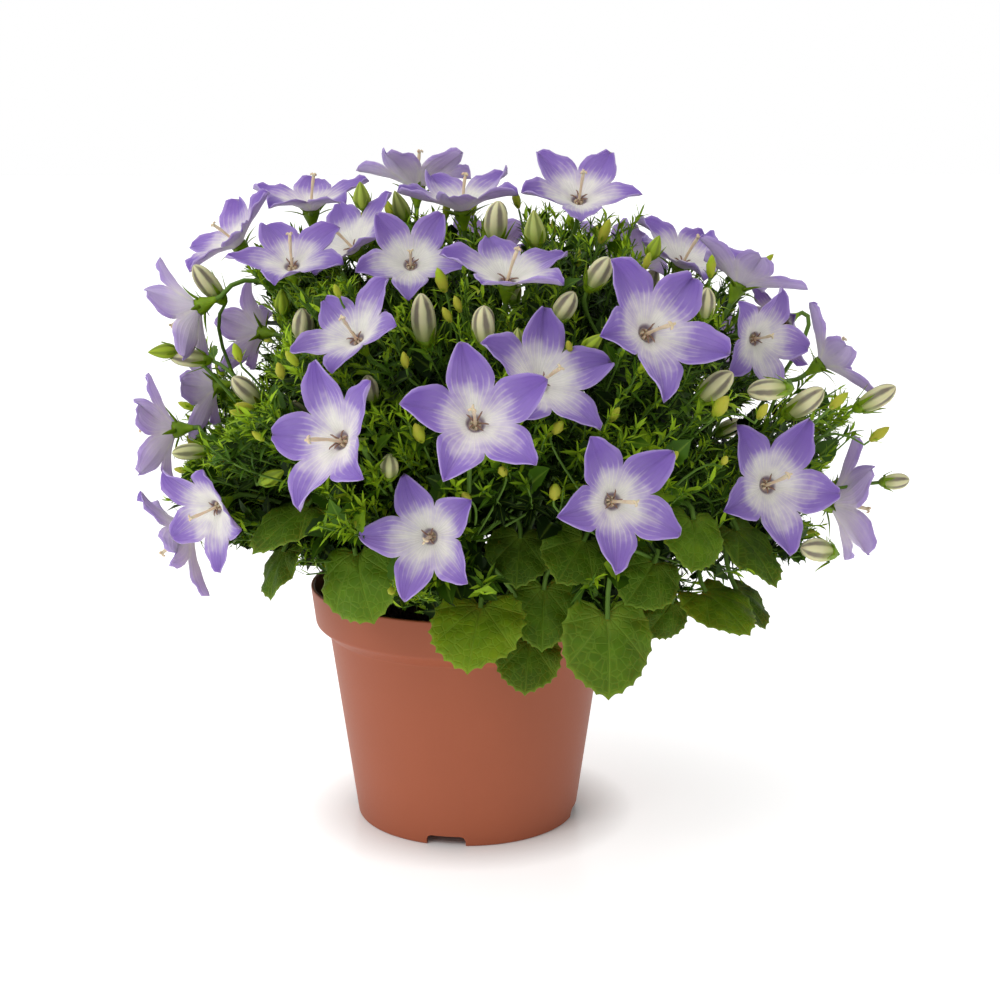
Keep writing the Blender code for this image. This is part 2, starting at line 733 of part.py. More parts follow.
def make_soil(roots):
    """The soil, a little smaller than the pot's inside, with a plain hole for each stem."""
    band_low = POT_HEIGHT - POT_BAND_DEPTH
    shoulder_low = band_low - POT_SHOULDER_DEPTH
    floor_top = POT_FLOOR_UNDERSIDE + POT_WALL
    inset = POT_WALL + CLEAR
    taper = (POT_RIM_RADIUS - POT_BAND_TAPER - POT_NECK_RADIUS) / POT_SHOULDER_DEPTH
    top_radius = POT_RIM_RADIUS - POT_BAND_TAPER - inset
    profile = [
        (0, floor_top + CLEAR),
        (POT_FOOT_RADIUS - inset, floor_top + CLEAR),
        (POT_NECK_RADIUS - inset, shoulder_low + POT_EDGE + CLEAR * taper),
        (top_radius, band_low + POT_EDGE + CLEAR * taper),
        (top_radius + SOIL_LIP, soil_height(top_radius)),
        (SOIL_RING_RADIUS, soil_height(SOIL_RING_RADIUS)),
        (0, soil_height(0)),
    ]
    soil = revolved("soil", profile, SOIL_SEGMENTS, material("soil", SOIL_BROWN, 0.95))
    cutters = []
    for root in roots:
        top = soil_height(math.hypot(root.x, root.y))
        low = Vector((root.x, root.y, top - HOLE_DEPTH))
        high = Vector((root.x, root.y, top + 2 * CUT_PAST))
        cutters.append(piece_object("hole", tube_piece([low, high], [HOLE_RADIUS] * 2, HOLE_SIDES)))
    join_with(soil, cutters, "DIFFERENCE")
    return soil


def back_bloom_rows():
    """Rows of the same form as FRONT_BLOOMS for the side that the viewer doesn't see."""
    draw = random.Random(BACK_BLOOM_SEED)
    rows = []
    for height_angle, bearings in BACK_BLOOM_ROWS:
        e = math.radians(height_angle)
        for bearing in bearings:
            b = math.radians(bearing + draw.uniform(-BACK_BLOOM_STRAY, BACK_BLOOM_STRAY))
            x = DOME_CENTRE.x + BACK_BLOOM_DOME.x * math.cos(e) * math.cos(b)
            y = DOME_CENTRE.y + BACK_BLOOM_DOME.y * math.cos(e) * math.sin(b)
            z = BACK_BLOOM_LEVEL + BACK_BLOOM_DOME.z * math.sin(e)
            facing = math.degrees(b) + 90 + draw.uniform(-BACK_BLOOM_SWING, BACK_BLOOM_SWING)
            rise = height_angle * BACK_BLOOM_RISE_SHARE + BACK_BLOOM_RISE
            rise += draw.uniform(-BACK_BLOOM_NOD, BACK_BLOOM_NOD)
            size = draw.uniform(*BACK_BLOOM_SIZE)
            rows.append((x / MM, y / MM, z / MM, facing, rise, draw.uniform(0, LOBE_ANGLE), size))
    return rows


class Clump:
    """A leafy stem: its root in the soil, its core on the dome and the pieces that join them."""

    def __init__(self, number, tier, step):
        bearing = tier["turn"] + step * 360 / tier["count"]
        b = math.radians(bearing)
        spread = tier["spread"]
        self.name = f"leafy_stem_{number:02d}"
        self.root = bearing_point(bearing, tier["root"])
        self.centre = DOME_CENTRE + Vector((spread[0] * math.cos(b), spread[1] * math.sin(b), tier["height"]))
        self.radii = LOWER_CORE if tier is LOWER_TIER else UPPER_CORE
        self.outward = (self.centre - DOME_CENTRE - Vector((0, 0, OUTWARD_LEVEL))).normalized()
        self.seed = number
        self.share = 1.0
        self.pieces = []

    def core_piece(self, grow=0.0):
        """The lumpy core that the leaves stand out of."""
        draw = random.Random(self.seed)
        mesh = bpy.data.meshes.new("core")
        solid = bmesh.new()
        bmesh.ops.create_icosphere(solid, subdivisions=1, radius=1.0)
        solid.to_mesh(mesh)
        solid.free()
        verts = []
        for vertex in mesh.vertices:
            lump = draw.uniform(*CORE_LUMPS)
            offset = [vertex.co[i] * (self.radii[i] * self.share * lump + grow) for i in range(3)]
            verts.append(self.centre + Vector(offset))
        faces = [tuple(face.vertices) for face in mesh.polygons]
        bpy.data.meshes.remove(mesh)
        return Piece(verts, faces)

    def stem_piece(self, grow=0.0):
        """The main stem, straight out of its hole and then bent to the core."""
        top = soil_height(math.hypot(self.root.x, self.root.y))
        foot = Vector((self.root.x, self.root.y, top - HOLE_DEPTH + CLEAR))
        neck = Vector((self.root.x, self.root.y, top + STEM_NECK))
        control = self.root.lerp(Vector((self.centre.x, self.centre.y, 0)), STEM_BEND_ASIDE)
        control.z = top + (self.centre.z - top) * STEM_BEND_HEIGHT
        points = [foot] + bend_points(neck, control, self.centre, BEND_STEPS)
        return tube_piece(points, [STEM_RADIUS] * len(points), STEM_SIDES, grow)


def place_blooms(occupied):
    """Make a node for each bloom."""
    surface = material("petal", PETAL_VIOLET, 0.55)
    rows = FRONT_BLOOMS + back_bloom_rows()
    for number, row in enumerate(rows, 1):
        name = f"bloom_{number:02d}"
        piece = bloom_piece(row)
        occupied.add(name, piece)
        piece_object(name, piece, surface)
    return rows


def place_clumps(occupied):
    """Set out the cores and main stems of the leafy stems."""
    clumps = []
    for tier in (LOWER_TIER, UPPER_TIER, TOP_TIER):
        for step in range(tier["count"]):
            clumps.append(Clump(len(clumps) + 1, tier, step))
    for clump in clumps:
        while not occupied.is_clear(clump.name, clump.core_piece(CLEAR)):
            clump.share -= CORE_SHARE_STEP
            if clump.share < CORE_SHARE_LEAST:
                raise ValueError(f"{clump.name} has no room for its core")
        core = clump.core_piece()
        core.is_core = True
        clump.pieces.append(core)
        occupied.add(clump.name, core)
        occupied.cores.append((clump.name, clump.centre, clump.radii * clump.share))
    for clump in clumps:
        if not occupied.is_clear(clump.name, clump.stem_piece(CLEAR)):
            raise ValueError(f"{clump.name} has no clear way for its stem")
        stem = clump.stem_piece()
        clump.pieces.append(stem)
        occupied.add(clump.name, stem)
    return clumps


def find_stalk(occupied, clumps, start, direction, foot_radius, seat=None):
    """The first stalk from a point, leaving against a direction, that reaches a nearby core and is clear."""
    nearest = sorted(clumps, key=lambda clump: (clump.centre - start).length)
    for clump in nearest[:STALK_CHOICES]:
        side = direction.cross(clump.centre - start).normalized()
        neck = start - direction * STALK_NECK
        for reach in STALK_REACHES:
            for swing in STALK_SWINGS:
                control = start - direction * (reach * MM) + side * (swing * MM)
                points = [start] + bend_points(neck, control, clump.centre, BEND_STEPS)
                radii = [foot_radius, foot_radius * STALK_TAPER] + [STALK_RADIUS] * (BEND_STEPS - 1)
                if not occupied.is_clear(clump.name, tube_piece(points, radii, STALK_SIDES, CLEAR), seat):
                    continue
                stalk = tube_piece(points, radii, STALK_SIDES)
                if occupied.is_clear(clump.name, stalk):
                    return clump, stalk
    return None, None


def place_bloom_stalks(occupied, clumps, rows):
    """Join each bloom's foot to a clump by a stalk that ends just under it."""
    for number, row in enumerate(rows, 1):
        size = row[-1]
        end, facing = bloom_seat(row)
        name = f"bloom_{number:02d}"
        clump, stalk = find_stalk(occupied, clumps, end, facing, BLOOM_FOOT_RADIUS * size * MM, name)
        if not clump:
            raise ValueError(f"{name} has no clear way for its stalk")
        clump.pieces.append(stalk)
        occupied.add(clump.name, stalk)


def shifts():
    """Small moves to try for a piece that has no room where it should stand, nearest first."""
    moves = [Vector((0, 0, 0))]
    for length in SHIFT_LENGTHS:
        for axis in range(3):
            for sign in (1, -1):
                move = Vector((0, 0, 0))
                move[axis] = sign * length
                moves.append(move)
    return moves


def find_leaf(occupied, clumps, attach, direction, normal, length):
    """The stem, the stalk and the large leaf that stand clear at a place, or None."""
    grown = large_leaf_piece(attach, direction, normal, length, CLEAR)
    start = attach + direction * (length * LARGE_LEAF_JOINT)
    nearest = sorted(clumps[:LOWER_TIER["count"]], key=lambda clump: (clump.centre - attach).length)
    for clump in nearest[:LARGE_LEAF_STEMS]:
        if not occupied.is_clear(clump.name, grown):
            continue
        for reach in LARGE_LEAF_STALK_REACHES:
            control = attach - direction * (reach * MM) + Vector((0, 0, LARGE_LEAF_STALK_LIFT))
            points = bend_points(start, control, clump.centre, BEND_STEPS)
            radii = [STALK_RADIUS] * len(points)
            if occupied.is_clear(clump.name, tube_piece(points, radii, STALK_SIDES, CLEAR)):
                stalk = tube_piece(points, radii, STALK_SIDES)
                return clump, stalk, large_leaf_piece(attach, direction, normal, length)
    return None


def place_large_leaves(occupied, clumps):
    """The large leaves round the foot of the dome, each on its own stalk."""
    for number, (joint, tip) in enumerate(LARGE_LEAVES, 1):
        along = (Vector(tip) - Vector(joint)) * MM
        direction = along.normalized()
        found = None
        for move in shifts():
            attach = Vector(joint) * MM + move
            outward = (attach - DOME_CENTRE).xy.normalized()
            normal = (outward * LARGE_LEAF_OUTWARD).to_3d() + Vector((0, 0, LARGE_LEAF_UPWARD))
            found = find_leaf(occupied, clumps, attach, direction, normal, along.length)
            if found:
                break
        if not found:
            raise ValueError(f"large leaf {number} has no room")
        clump, stalk, leaf = found
        for piece in (stalk, leaf):
            clump.pieces.append(piece)
            occupied.add(clump.name, piece)


def find_bud(occupied, clumps, foot, direction, length, radius):
    """The stem, the stalk and the bud that stand clear at a place, or None."""
    grown = bud_piece(foot, direction, length, radius, CLEAR)
    for clump in sorted(clumps, key=lambda clump: (clump.centre - foot).length)[:STALK_CHOICES]:
        if not occupied.is_clear(clump.name, grown):
            continue
        found, stalk = find_stalk(occupied, [clump], foot + direction * MM, direction, STALK_RADIUS)
        if found:
            return clump, stalk, bud_piece(foot, direction, length, radius)
    return None


def place_buds(occupied, clumps):
    """The buds, each on a stalk."""
    for number, (x, y, z, lean, length, radius) in enumerate(BUDS, 1):
        angle = math.radians(lean)
        towards = -BUD_TOWARDS_VIEWER if y < BUD_BACK_FROM else BUD_TOWARDS_VIEWER
        direction = Vector((math.cos(angle), towards, math.sin(angle))).normalized()
        found = None
        for move in shifts():
            foot = Vector((x, y, z)) * MM + move - direction * (length * MM / 2)
            found = find_bud(occupied, clumps, foot, direction, length * MM, radius * MM)
            if found:
                break
        if not found:
            raise ValueError(f"bud {number} has no room")
        clump, stalk, bud = found
        for piece in (stalk, bud):
            clump.pieces.append(piece)
            occupied.add(clump.name, piece)


def place_small_leaves(occupied, clump):
    """Small pointed leaves that stand out of a clump's core, overlapping like shingles."""
    draw = random.Random(SMALL_LEAF_SEED + clump.seed)
    placed = 0
    outward_share, stray_share, upward_share = SMALL_LEAF_FACING
    spin = Matrix.Rotation(draw.uniform(0, 2 * math.pi), 3, "Z")
    spokes = [spin @ spoke for spoke in sphere_points(SMALL_LEAF_SPOKES)]
    spokes = [spoke for spoke in spokes if spoke.dot(clump.outward) > SMALL_LEAF_INWARD]
    draw.shuffle(spokes)
    for spoke in spokes:
        if placed >= SMALL_LEAVES_PER_CLUMP:
            return
        reach = 1 / math.sqrt(sum((spoke[i] / (clump.radii[i] * clump.share)) ** 2 for i in range(3)))
        base = clump.centre + spoke * (reach * SMALL_LEAF_SEAT)
        for attempt in range(SMALL_LEAF_TRIES):
            jitter = Vector([draw.uniform(-1, 1) for i in range(3)])
            aside = spoke.cross(jitter).normalized()
            direction = (spoke + aside * draw.uniform(*SMALL_LEAF_TILT)).normalized()
            normal = clump.outward + spoke * outward_share + jitter * stray_share + Vector((0, 0, upward_share))
            length = draw.uniform(*SMALL_LEAF_LENGTH) * (1 - SMALL_LEAF_SHRINK * attempt)
            length += reach * SMALL_LEAF_ROOT
            width = draw.uniform(*SMALL_LEAF_WIDTH)
            if abs(direction.dot(normal.normalized())) > SMALL_LEAF_STEEPEST:
                continue
            grown = blade_piece(base, direction, normal, length, width, CLEAR)
            if occupied.is_clear(clump.name, grown) and not occupied.crosses_own(clump.name, grown):
                leaf = blade_piece(base, direction, normal, length, width)
                clump.pieces.append(leaf)
                occupied.add(clump.name, leaf)
                placed += 1
                break


def largest_body(item):
    """Keep only the largest connected body of a mesh."""
    solid = bmesh.new()
    solid.from_mesh(item.data)
    left = set(solid.verts)
    bodies = []
    while left:
        stack = [left.pop()]
        body = set(stack)
        while stack:
            vertex = stack.pop()
            for edge in vertex.link_edges:
                other = edge.other_vert(vertex)
                if other in left:
                    left.discard(other)
                    body.add(other)
                    stack.append(other)
        bodies.append(body)
    bodies.sort(key=len, reverse=True)
    scraps = [vertex for body in bodies[1:] for vertex in body]
    bmesh.ops.delete(solid, geom=scraps, context="VERTS")
    solid.to_mesh(item.data)
    solid.free()


def is_closed(item, weld):
    """True where a mesh stays one closed shell once points nearer than weld are merged."""
    solid = bmesh.new()
    solid.from_mesh(item.data)
    bmesh.ops.triangulate(solid, faces=solid.faces[:])
    if weld:
        bmesh.ops.remove_doubles(solid, verts=solid.verts[:], dist=weld)
    closed = all(edge.is_manifold for edge in solid.edges) and all(vertex.is_manifold for vertex in solid.verts)
    solid.free()
    return closed


def fuse(clump, surface):
    """Join a clump's pieces into one closed body, each nudged a little where a near touch leaves a flaw."""
    draw = random.Random(clump.seed)
    for attempt in range(FUSE_TRIES):
        base = piece_object(clump.name, clump.pieces[0], surface)
        others = []
        for piece in clump.pieces[1:]:
            nudge = Vector([draw.uniform(-1, 1) for i in range(3)]) * (FUSE_NUDGE * (attempt // 2))
            others.append(new_object("operand", [point + nudge for point in piece.verts], piece.faces))
        join_with(base, others, "UNION", "MANIFOLD" if attempt % 2 else "EXACT")
        largest_body(base)
        if is_closed(base, 0) and is_closed(base, FUSE_WELD):
            return base
        bpy.data.objects.remove(base, do_unlink=True)
    raise ValueError(f"{clump.name} doesn't fuse to one closed body")


def main():
    """Build the whole plant."""
    clear_scene()
    occupied = Occupied()
    rows = place_blooms(occupied)
    clumps = place_clumps(occupied)
    make_pot()
    make_soil([clump.root for clump in clumps])
    place_bloom_stalks(occupied, clumps, rows)
    place_large_leaves(occupied, clumps)
    place_buds(occupied, clumps)
    for clump in clumps:
        place_small_leaves(occupied, clump)
    surface = material("leaf", LEAF_GREEN, 0.6)
    for clump in clumps:
        fuse(clump, surface)


if __name__ == "__main__":
    main()
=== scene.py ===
"""Looks of a potted Italian bellflower.

The pot stands on z = 0 with its axis on Z, and -Y is the side that the photograph shows. Lengths are in
metres, and a table of places is in millimetres where its comment says so.
"""
import json
import math
import random
from functools import partial

import bmesh
import bpy
import numpy as np
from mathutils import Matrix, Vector

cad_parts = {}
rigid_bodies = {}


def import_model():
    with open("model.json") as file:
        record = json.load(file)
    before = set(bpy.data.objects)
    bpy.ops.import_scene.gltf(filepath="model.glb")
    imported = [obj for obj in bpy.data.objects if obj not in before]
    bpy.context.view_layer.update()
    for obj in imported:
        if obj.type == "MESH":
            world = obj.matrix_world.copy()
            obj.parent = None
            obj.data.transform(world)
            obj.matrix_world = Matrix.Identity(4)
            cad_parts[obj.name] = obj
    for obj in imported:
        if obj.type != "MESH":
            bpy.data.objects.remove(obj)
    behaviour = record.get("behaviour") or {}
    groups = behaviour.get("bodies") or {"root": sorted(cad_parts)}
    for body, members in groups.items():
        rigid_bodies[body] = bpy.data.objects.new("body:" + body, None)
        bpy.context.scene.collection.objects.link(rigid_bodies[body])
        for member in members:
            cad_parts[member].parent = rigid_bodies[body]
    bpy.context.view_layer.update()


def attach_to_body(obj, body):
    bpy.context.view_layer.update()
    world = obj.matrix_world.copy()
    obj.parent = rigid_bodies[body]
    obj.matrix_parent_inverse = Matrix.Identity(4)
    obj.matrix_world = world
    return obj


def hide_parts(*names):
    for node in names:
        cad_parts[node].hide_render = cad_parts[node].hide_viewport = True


bl_info = {
    "name": "Potted Italian bellflower",
    "version": (1, 0, 0),
    "blender": (4, 5, 0),
    "location": "View3D > Sidebar > Bellflower",
    "description": "Makes the pot, soil, foliage, buds and blooms of a potted Italian bellflower",
    "category": "Object",
}

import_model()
MM = 0.001
UP = Vector((0, 0, 1))
# Points closer than this are one point
WELD = 1e-7

# Pot and soil, as on the part
POT_HEIGHT = 92 * MM
POT_BAND_DEPTH = 14.4 * MM
POT_BAND_TAPER = 1.8 * MM
POT_SHOULDER_DEPTH = 4.4 * MM
POT_RIM_RADIUS = 60 * MM
POT_NECK_RADIUS = 53 * MM
POT_FOOT_RADIUS = 42.8 * MM
POT_WALL = 1.5 * MM
POT_FLOOR_UNDERSIDE = 5 * MM
POT_SKIRT_WALL = 2 * MM
POT_CENTRE_PAD_RADIUS = 6 * MM
NOTCH_COUNT = 4
NOTCH_WIDTH = 15 * MM
NOTCH_HEIGHT = 4 * MM
NOTCH_BEARING = -101
DRAIN_COUNT = 6
DRAIN_RADIUS = 3.5 * MM
DRAIN_RING_RADIUS = 27 * MM
SOIL_EDGE_DEPTH = 9.5 * MM
SOIL_MOUND = 3 * MM
POT_BAND_LOW = POT_HEIGHT - POT_BAND_DEPTH
POT_SHOULDER_LOW = POT_BAND_LOW - POT_SHOULDER_DEPTH
POT_FLOOR_TOP = POT_FLOOR_UNDERSIDE + POT_WALL
# How far the walls under the raised floor lean, and how much higher the corners inside the pot are
POT_EDGE = 0.8 * MM
# Edges that bend by more degrees than this stay sharp
POT_SHARP_FROM = 40
# How far the cutters reach to both sides of what they cut
CUT_PAST = 2 * MM
NOTCH_REACH = 4 * MM
# Outline of a notch, as shares of its width and its height
NOTCH_OUTLINE = [
    (-0.5, -1.0), (0.5, -1.0), (0.5, 0.55), (0.46, 0.85), (0.38, 1.0), (-0.38, 1.0), (-0.46, 0.85), (-0.5, 0.55),
]
SOIL_GAP = 0.3 * MM
SOIL_SIDES = 96
SOIL_RINGS = 30
# The surface goes down and up by this much, in mm
SOIL_ROUGHNESS = (-0.7, 0.5)

# Foliage: the leafy stems stand in three tiers round the dome's axis, as on the part
DOME_CENTRE = Vector((27 * MM, -5 * MM, 0))
TIERS = [
    {"count": 10, "spread": (85 * MM, 76 * MM), "height": 124 * MM, "turn": 0, "root": 41 * MM},
    {"count": 5, "spread": (57 * MM, 51 * MM), "height": 174 * MM, "turn": 18, "root": 19 * MM},
    {"count": 1, "spread": (0, 0), "height": 203 * MM, "turn": 0, "root": 0},
]

# The outside of the leafy dome: its middle, its half widths, and how square it is above its middle;
# it is wider and squarer on the left
ENVELOPE_MIDDLE = np.array([25, -5, 118]) * MM
ENVELOPE_REACH = np.array([121, 104, 113]) * MM
ENVELOPE_SQUARE = 3.0
ENVELOPE_LEFT_REACH = 131 * MM
ENVELOPE_LEFT_SQUARE = 4.0
# No small leaf hangs lower than this height at a distance from the dome's axis, in mm
LOWEST_LEAVES = [(0, 84), (55, 84), (83, 104), (115, 116), (140, 120)]

# How far leaves and stalks stay away: from a bloom's axis, ahead of a bloom that faces the viewer and of another,
# and from its tube, in mm for a bloom 45 mm across, then below and above a large leaf, and from the pot's rim
BLOOM_CLEAR_REACH = 23.5
BLOOM_CLEAR_AHEAD = (26.0, 12.0)
TUBE_CLEAR_REACH = 4.5
TUBE_CLEAR_DEPTH = 8.5
LEAF_CLEAR_BELOW = 3 * MM
LEAF_CLEAR_ABOVE = 7 * MM
POT_CLEAR_ABOVE = 2 * MM
POT_CLEAR_ROUND = 4 * MM

# Blooms that show from the front: throat x, y, z in mm, bearing and rise of the facing, turn, size
FRONT_BLOOMS = [
    (-60, 35, 233, -18, 80, 35, 1.07),
    (-19, 46, 241, 180, 75, 64, 1.10),
    (-1, -2, 235, -27, 80, 1, 1.06),
    (41, -22, 239, 3, 55, 53, 1.02),
    (-61, -40, 217, -10, 59, 50, 0.99),
    (-41, -13, 221, -53, 51, 70, 1.04),
    (-88, 26, 220, -70, 50, 0, 1.00),
    (-99, -12, 199, -100, -25, 32, 1.05),
    (-36, -87, 197, -40, 48, 6, 0.96),
    (-19, -47, 218, 0, 40, 54, 0.90),
    (14, -74, 215, 10, 70, 22, 1.04),
    (59, -97, 200, 31, 28, 40, 1.17),
    (84, 24, 212, 40, 64, 28, 1.12),
    (101, -14, 208, 120, 60, 9, 1.05),
    (104, -34, 190, 30, 0, 65, 0.90),
    (126, 34, 188, -60, -20, 24, 0.90),
    (134, -8, 178, 91, 36, 24, 0.97),
    (3, -129, 176, 8, 33, 24, 1.09),
    (24, -100, 184, 32, 38, 4, 1.11),
    (-40, -114, 168, -45, 22, 44, 1.14),
    (-111, -3, 152, -98, -7, 38, 1.04),
    (-97, 13, 166, -102, -11, 11, 0.96),
    (-88, -58, 134, -41, -15, 67, 0.97),
    (-105, -12, 115, -79, -32, 4, 1.13),
    (-12, -104, 134, -22, 9, 39, 0.98),
    (47, -115, 148, 22, 12, 42, 1.05),
    (104, -71, 144, 23, 15, 55, 1.12),
    (139, -13, 125, 93, 0, 70, 1.15),
    (-82, 38, 184, -115, 5, 20, 0.92),
]

# Blooms of the back, in rows round the dome: height angle, then bearings counted from +X towards +Y
BACK_BLOOM_ROWS = [
    (50, (60, 104)),
    (25, (50, 88, 128)),
    (-3, (40, 66, 92, 118, 144)),
]
BACK_BLOOM_DOME = Vector((116, 103, 120)) * MM
BACK_BLOOM_LEVEL = 118 * MM

# Buds: middle x, y, z in mm, lean counted from +X towards +Z, length and radius in mm, ripeness from 0 to 1
BUDS = [
    (-95, -8, 208, 125, 17, 4.0, 0.7),
    (-102, -16, 181, 170, 14, 3.6, 0.9),
    (-57, -45, 196, 90, 14, 4.2, 0.9),
    (-79, -35, 172, 130, 14, 3.8, 0.8),
    (-101, -27, 148, 180, 13, 3.2, 0.5),
    (-14, -75, 202, 95, 19, 4.4, 0.9),
    (6, -92, 202, 90, 14, 4.0, 0.9),
    (33, -82, 207, 60, 12, 3.8, 0.7),
    (45, -70, 217, 60, 13, 4.0, 0.8),
    (83, -88, 181, 45, 15, 4.2, 1.0),
    (102, -77, 178, 180, 15, 4.0, 0.7),
    (117, -65, 172, 40, 16, 4.2, 0.9),
    (151, -24, 167, 35, 16, 4.0, 0.8),
    (121, -76, 122, 165, 13, 4.2, 0.7),
    (24, -52, 231, 95, 13, 4.0, 0.3),
    (11, -41, 232, 85, 16, 4.4, 1.0),
    (-24, -4, 236, 110, 12, 3.4, 0.3),
    (82, -66, 206, 90, 12, 3.2, 0.6),
    (-32, -84, 180, 100, 10, 3.2, 0.6),
    (-25, -101, 157, 90, 9, 3.2, 0.5),
    (159, -26, 136, 10, 10, 3.2, 0.6),
    (17, -90, 196, 90, 11, 3.6, 0.3),
    (-67, -16, 202, 90, 10, 3.0, 0.0),
    (-38, -6, 240, 95, 10, 3.4, 0.2),
    (-111, -20, 184, 180, 10, 3.0, 0.1),
    (-66, -72, 148, 30, 10, 3.0, 0.1),
    (42, -90, 196, 45, 9, 2.8, 0.1),
    (66, -47, 224, 70, 9, 2.8, 0.1),
    (76, 68, 200, 70, 13, 3.8, 0.7),
    (20, 84, 196, 95, 14, 4.0, 0.9),
    (-36, 76, 190, 110, 12, 3.6, 0.5),
    (110, 66, 140, 20, 13, 3.8, 0.8),
    (48, 98, 148, 60, 12, 3.6, 0.3),
    (-8, 94, 140, 120, 13, 3.8, 0.9),
    (-66, 58, 150, 150, 12, 3.6, 0.5),
]
# Each bud also leans towards the side that it stands on: from this y on, in mm, that is the back
BUD_TOWARDS_VIEWER = 0.35
BUD_BACK_FROM = 20
# Radius of a bud and of its cup along its length, as shares of its own radius and length
RIPE_BUD = [
    (0.0, 0.45), (0.10, 0.68), (0.24, 0.88), (0.40, 1.0), (0.58, 1.0), (0.72, 0.92), (0.84, 0.74), (0.92, 0.52),
    (0.98, 0.26), (1.0, 0.06),
]
YOUNG_BUD = [
    (0.0, 0.55), (0.12, 0.85), (0.28, 1.0), (0.45, 0.96), (0.60, 0.80), (0.75, 0.58), (0.88, 0.34), (0.95, 0.18),
    (1.0, 0.04),
]
RIPE_FROM = 0.45
BUD_CUP = [(-0.12, 0.30), (-0.04, 0.52), (0.05, 0.66), (0.14, 0.80)]
BUD_SIDES = 20
BUD_SEED = 900
BUD_CUP_SIDES = 10
BUD_FURROW = 0.17

# Small lime buds of the front: where the camera sees them, as x and z in mm at y = 0, and their length in mm
LIME_BUDS = [
    (-9, 208, 10), (-3, 199, 7), (-7, 195, 7), (-70, 174, 8), (-79, 149, 6), (-18, 150, 10), (14, 135, 8),
    (0, 125, 7), (34, 127, 10), (35, 152, 9), (-48, 204, 6), (-28, 234, 9), (19, 238, 8), (-86, 181, 8),
    (-23, 178, 7), (52, 226, 10), (92, 213, 9), (97, 160, 12), (113, 158, 8), (142, 162, 9), (158, 149, 9),
    (39, 183, 6), (68, 215, 7), (99, 139, 6),
]

# Large leaves: the point where the stalk joins, the leaf's tip, x, y, z in mm, its width and how light it is;
# how light a leaf is stands partly for its own tone and partly for painted light and shade on it
LARGE_LEAVES = [
    ((-54, -66, 137), (-73, -80, 124), 0.90, 0.22),
    ((-65, -50, 117), (-71, -60, 102), 0.95, 0.20),
    ((-39, -66, 120), (-33, -82, 99), 1.05, 0.40),
    ((5, -78, 104), (0, -97, 86), 1.02, 0.60),
    ((22, -72, 89), (20, -82, 73), 1.00, 0.25),
    ((48, -85, 102), (49, -94, 75), 0.92, 0.32),
    ((27, -70, 108), (26, -80, 88), 0.90, 0.35),
    ((41, -74, 126), (31, -86, 114), 1.05, 0.25),
    ((19, -64, 125), (17, -74, 109), 1.05, 0.20),
    ((66, -70, 117), (55, -82, 105), 1.05, 0.30),
    ((73, -62, 100), (63, -70, 90), 0.90, 0.25),
    ((83, -68, 106), (98, -82, 95), 1.02, 0.50),
    ((96, -54, 103), (107, -62, 91), 1.00, 0.15),
    ((94, -66, 128), (108, -78, 111), 0.80, 0.20),
    ((77, -84, 136), (76, -98, 121), 0.95, 0.45),
    ((116, 24, 118), (128, 30, 102), 0.95, 0.30),
    ((108, 56, 110), (120, 68, 92), 1.00, 0.40),
    ((72, 78, 106), (78, 94, 84), 1.00, 0.30),
    ((22, 84, 106), (20, 100, 84), 0.95, 0.50),
    ((-28, 68, 106), (-36, 84, 86), 1.00, 0.35),
    ((-66, 34, 106), (-80, 44, 88), 1.00, 0.45),
]
FRONT_LEAVES = 15
LARGE_LEAF_SEED = 700

# Outline of a large leaf: angle from its tip in degrees, and distance from its middle in leaf lengths
LEAF_MIDDLE = 0.36
LEAF_OUTLINE = [
    (0, 0.65), (12, 0.615), (30, 0.585), (60, 0.59), (90, 0.615), (115, 0.645), (135, 0.665), (148, 0.655),
    (159, 0.56), (169, 0.44), (180, 0.35),
]
LEAF_TEETH = 22
LEAF_POINTS_PER_TOOTH = 4
LEAF_RINGS = [0.0, 0.16, 0.32, 0.48, 0.62, 0.75, 0.86, 0.94, 1.0]
LEAF_HALF_THICKNESS = 0.20 * MM
# This rate sets the main veins and the bulges between them 40 degrees apart
MAIN_VEIN_RATE = 4.5

# Small leaves of unit length: place and half width along the leaf, droop, and how steeply the sides rise;
# four for the sprigs, then two broader ones for the lower stems
LANCE = [(0.0, 0.014), (0.20, 0.070), (0.45, 0.125), (0.70, 0.090), (1.0, 0.002)]
LEAF_SHAPES = [
    ("a_needle", [(0.0, 0.020), (0.30, 0.065), (0.70, 0.055), (1.0, 0.002)], 0.12, 0.5),
    ("b_lance", LANCE, 0.20, 0.5),
    ("c_lance_bent", LANCE, 0.45, 0.3),
    ("d_toothed", [(0.0, 0.015), (0.14, 0.040), (0.28, 0.150), (0.40, 0.115), (0.54, 0.165), (0.68, 0.100),
                   (0.84, 0.070), (1.0, 0.002)], 0.25, 0.4),
    ("e_broad", [(0.0, 0.014), (0.22, 0.020), (0.27, 0.240), (0.42, 0.300), (0.52, 0.250), (0.64, 0.290),
                 (0.76, 0.180), (0.90, 0.090), (1.0, 0.004)], 0.22, 0.25),
    ("f_heart", [(0.0, 0.014), (0.24, 0.020), (0.22, 0.300), (0.38, 0.390), (0.50, 0.330), (0.62, 0.360),
                 (0.74, 0.250), (0.88, 0.140), (1.0, 0.006)], 0.15, 0.20),
]
TINY_BUD_PROFILE = [(0.05, 0.09), (0.25, 0.18), (0.55, 0.21), (0.85, 0.11)]
TINY_BUD_SIDES = 6

# Sprigs: the lowest direction that bears some, the share that the right side goes without, and where the
# left side starts and how often it is gone over again
SPRIG_LOWEST = -0.42
SPRIG_RIGHT_LOSS = 0.35
SPRIG_LEFT_FROM = -0.4
SPRIG_LEFT_TIMES = 2
SPRIG_POINTS = 7
SPRIG_FEWEST_POINTS = 4
# A sprig starts this share of the dome's reach inside its end
SPRIG_DEPTH = 0.36
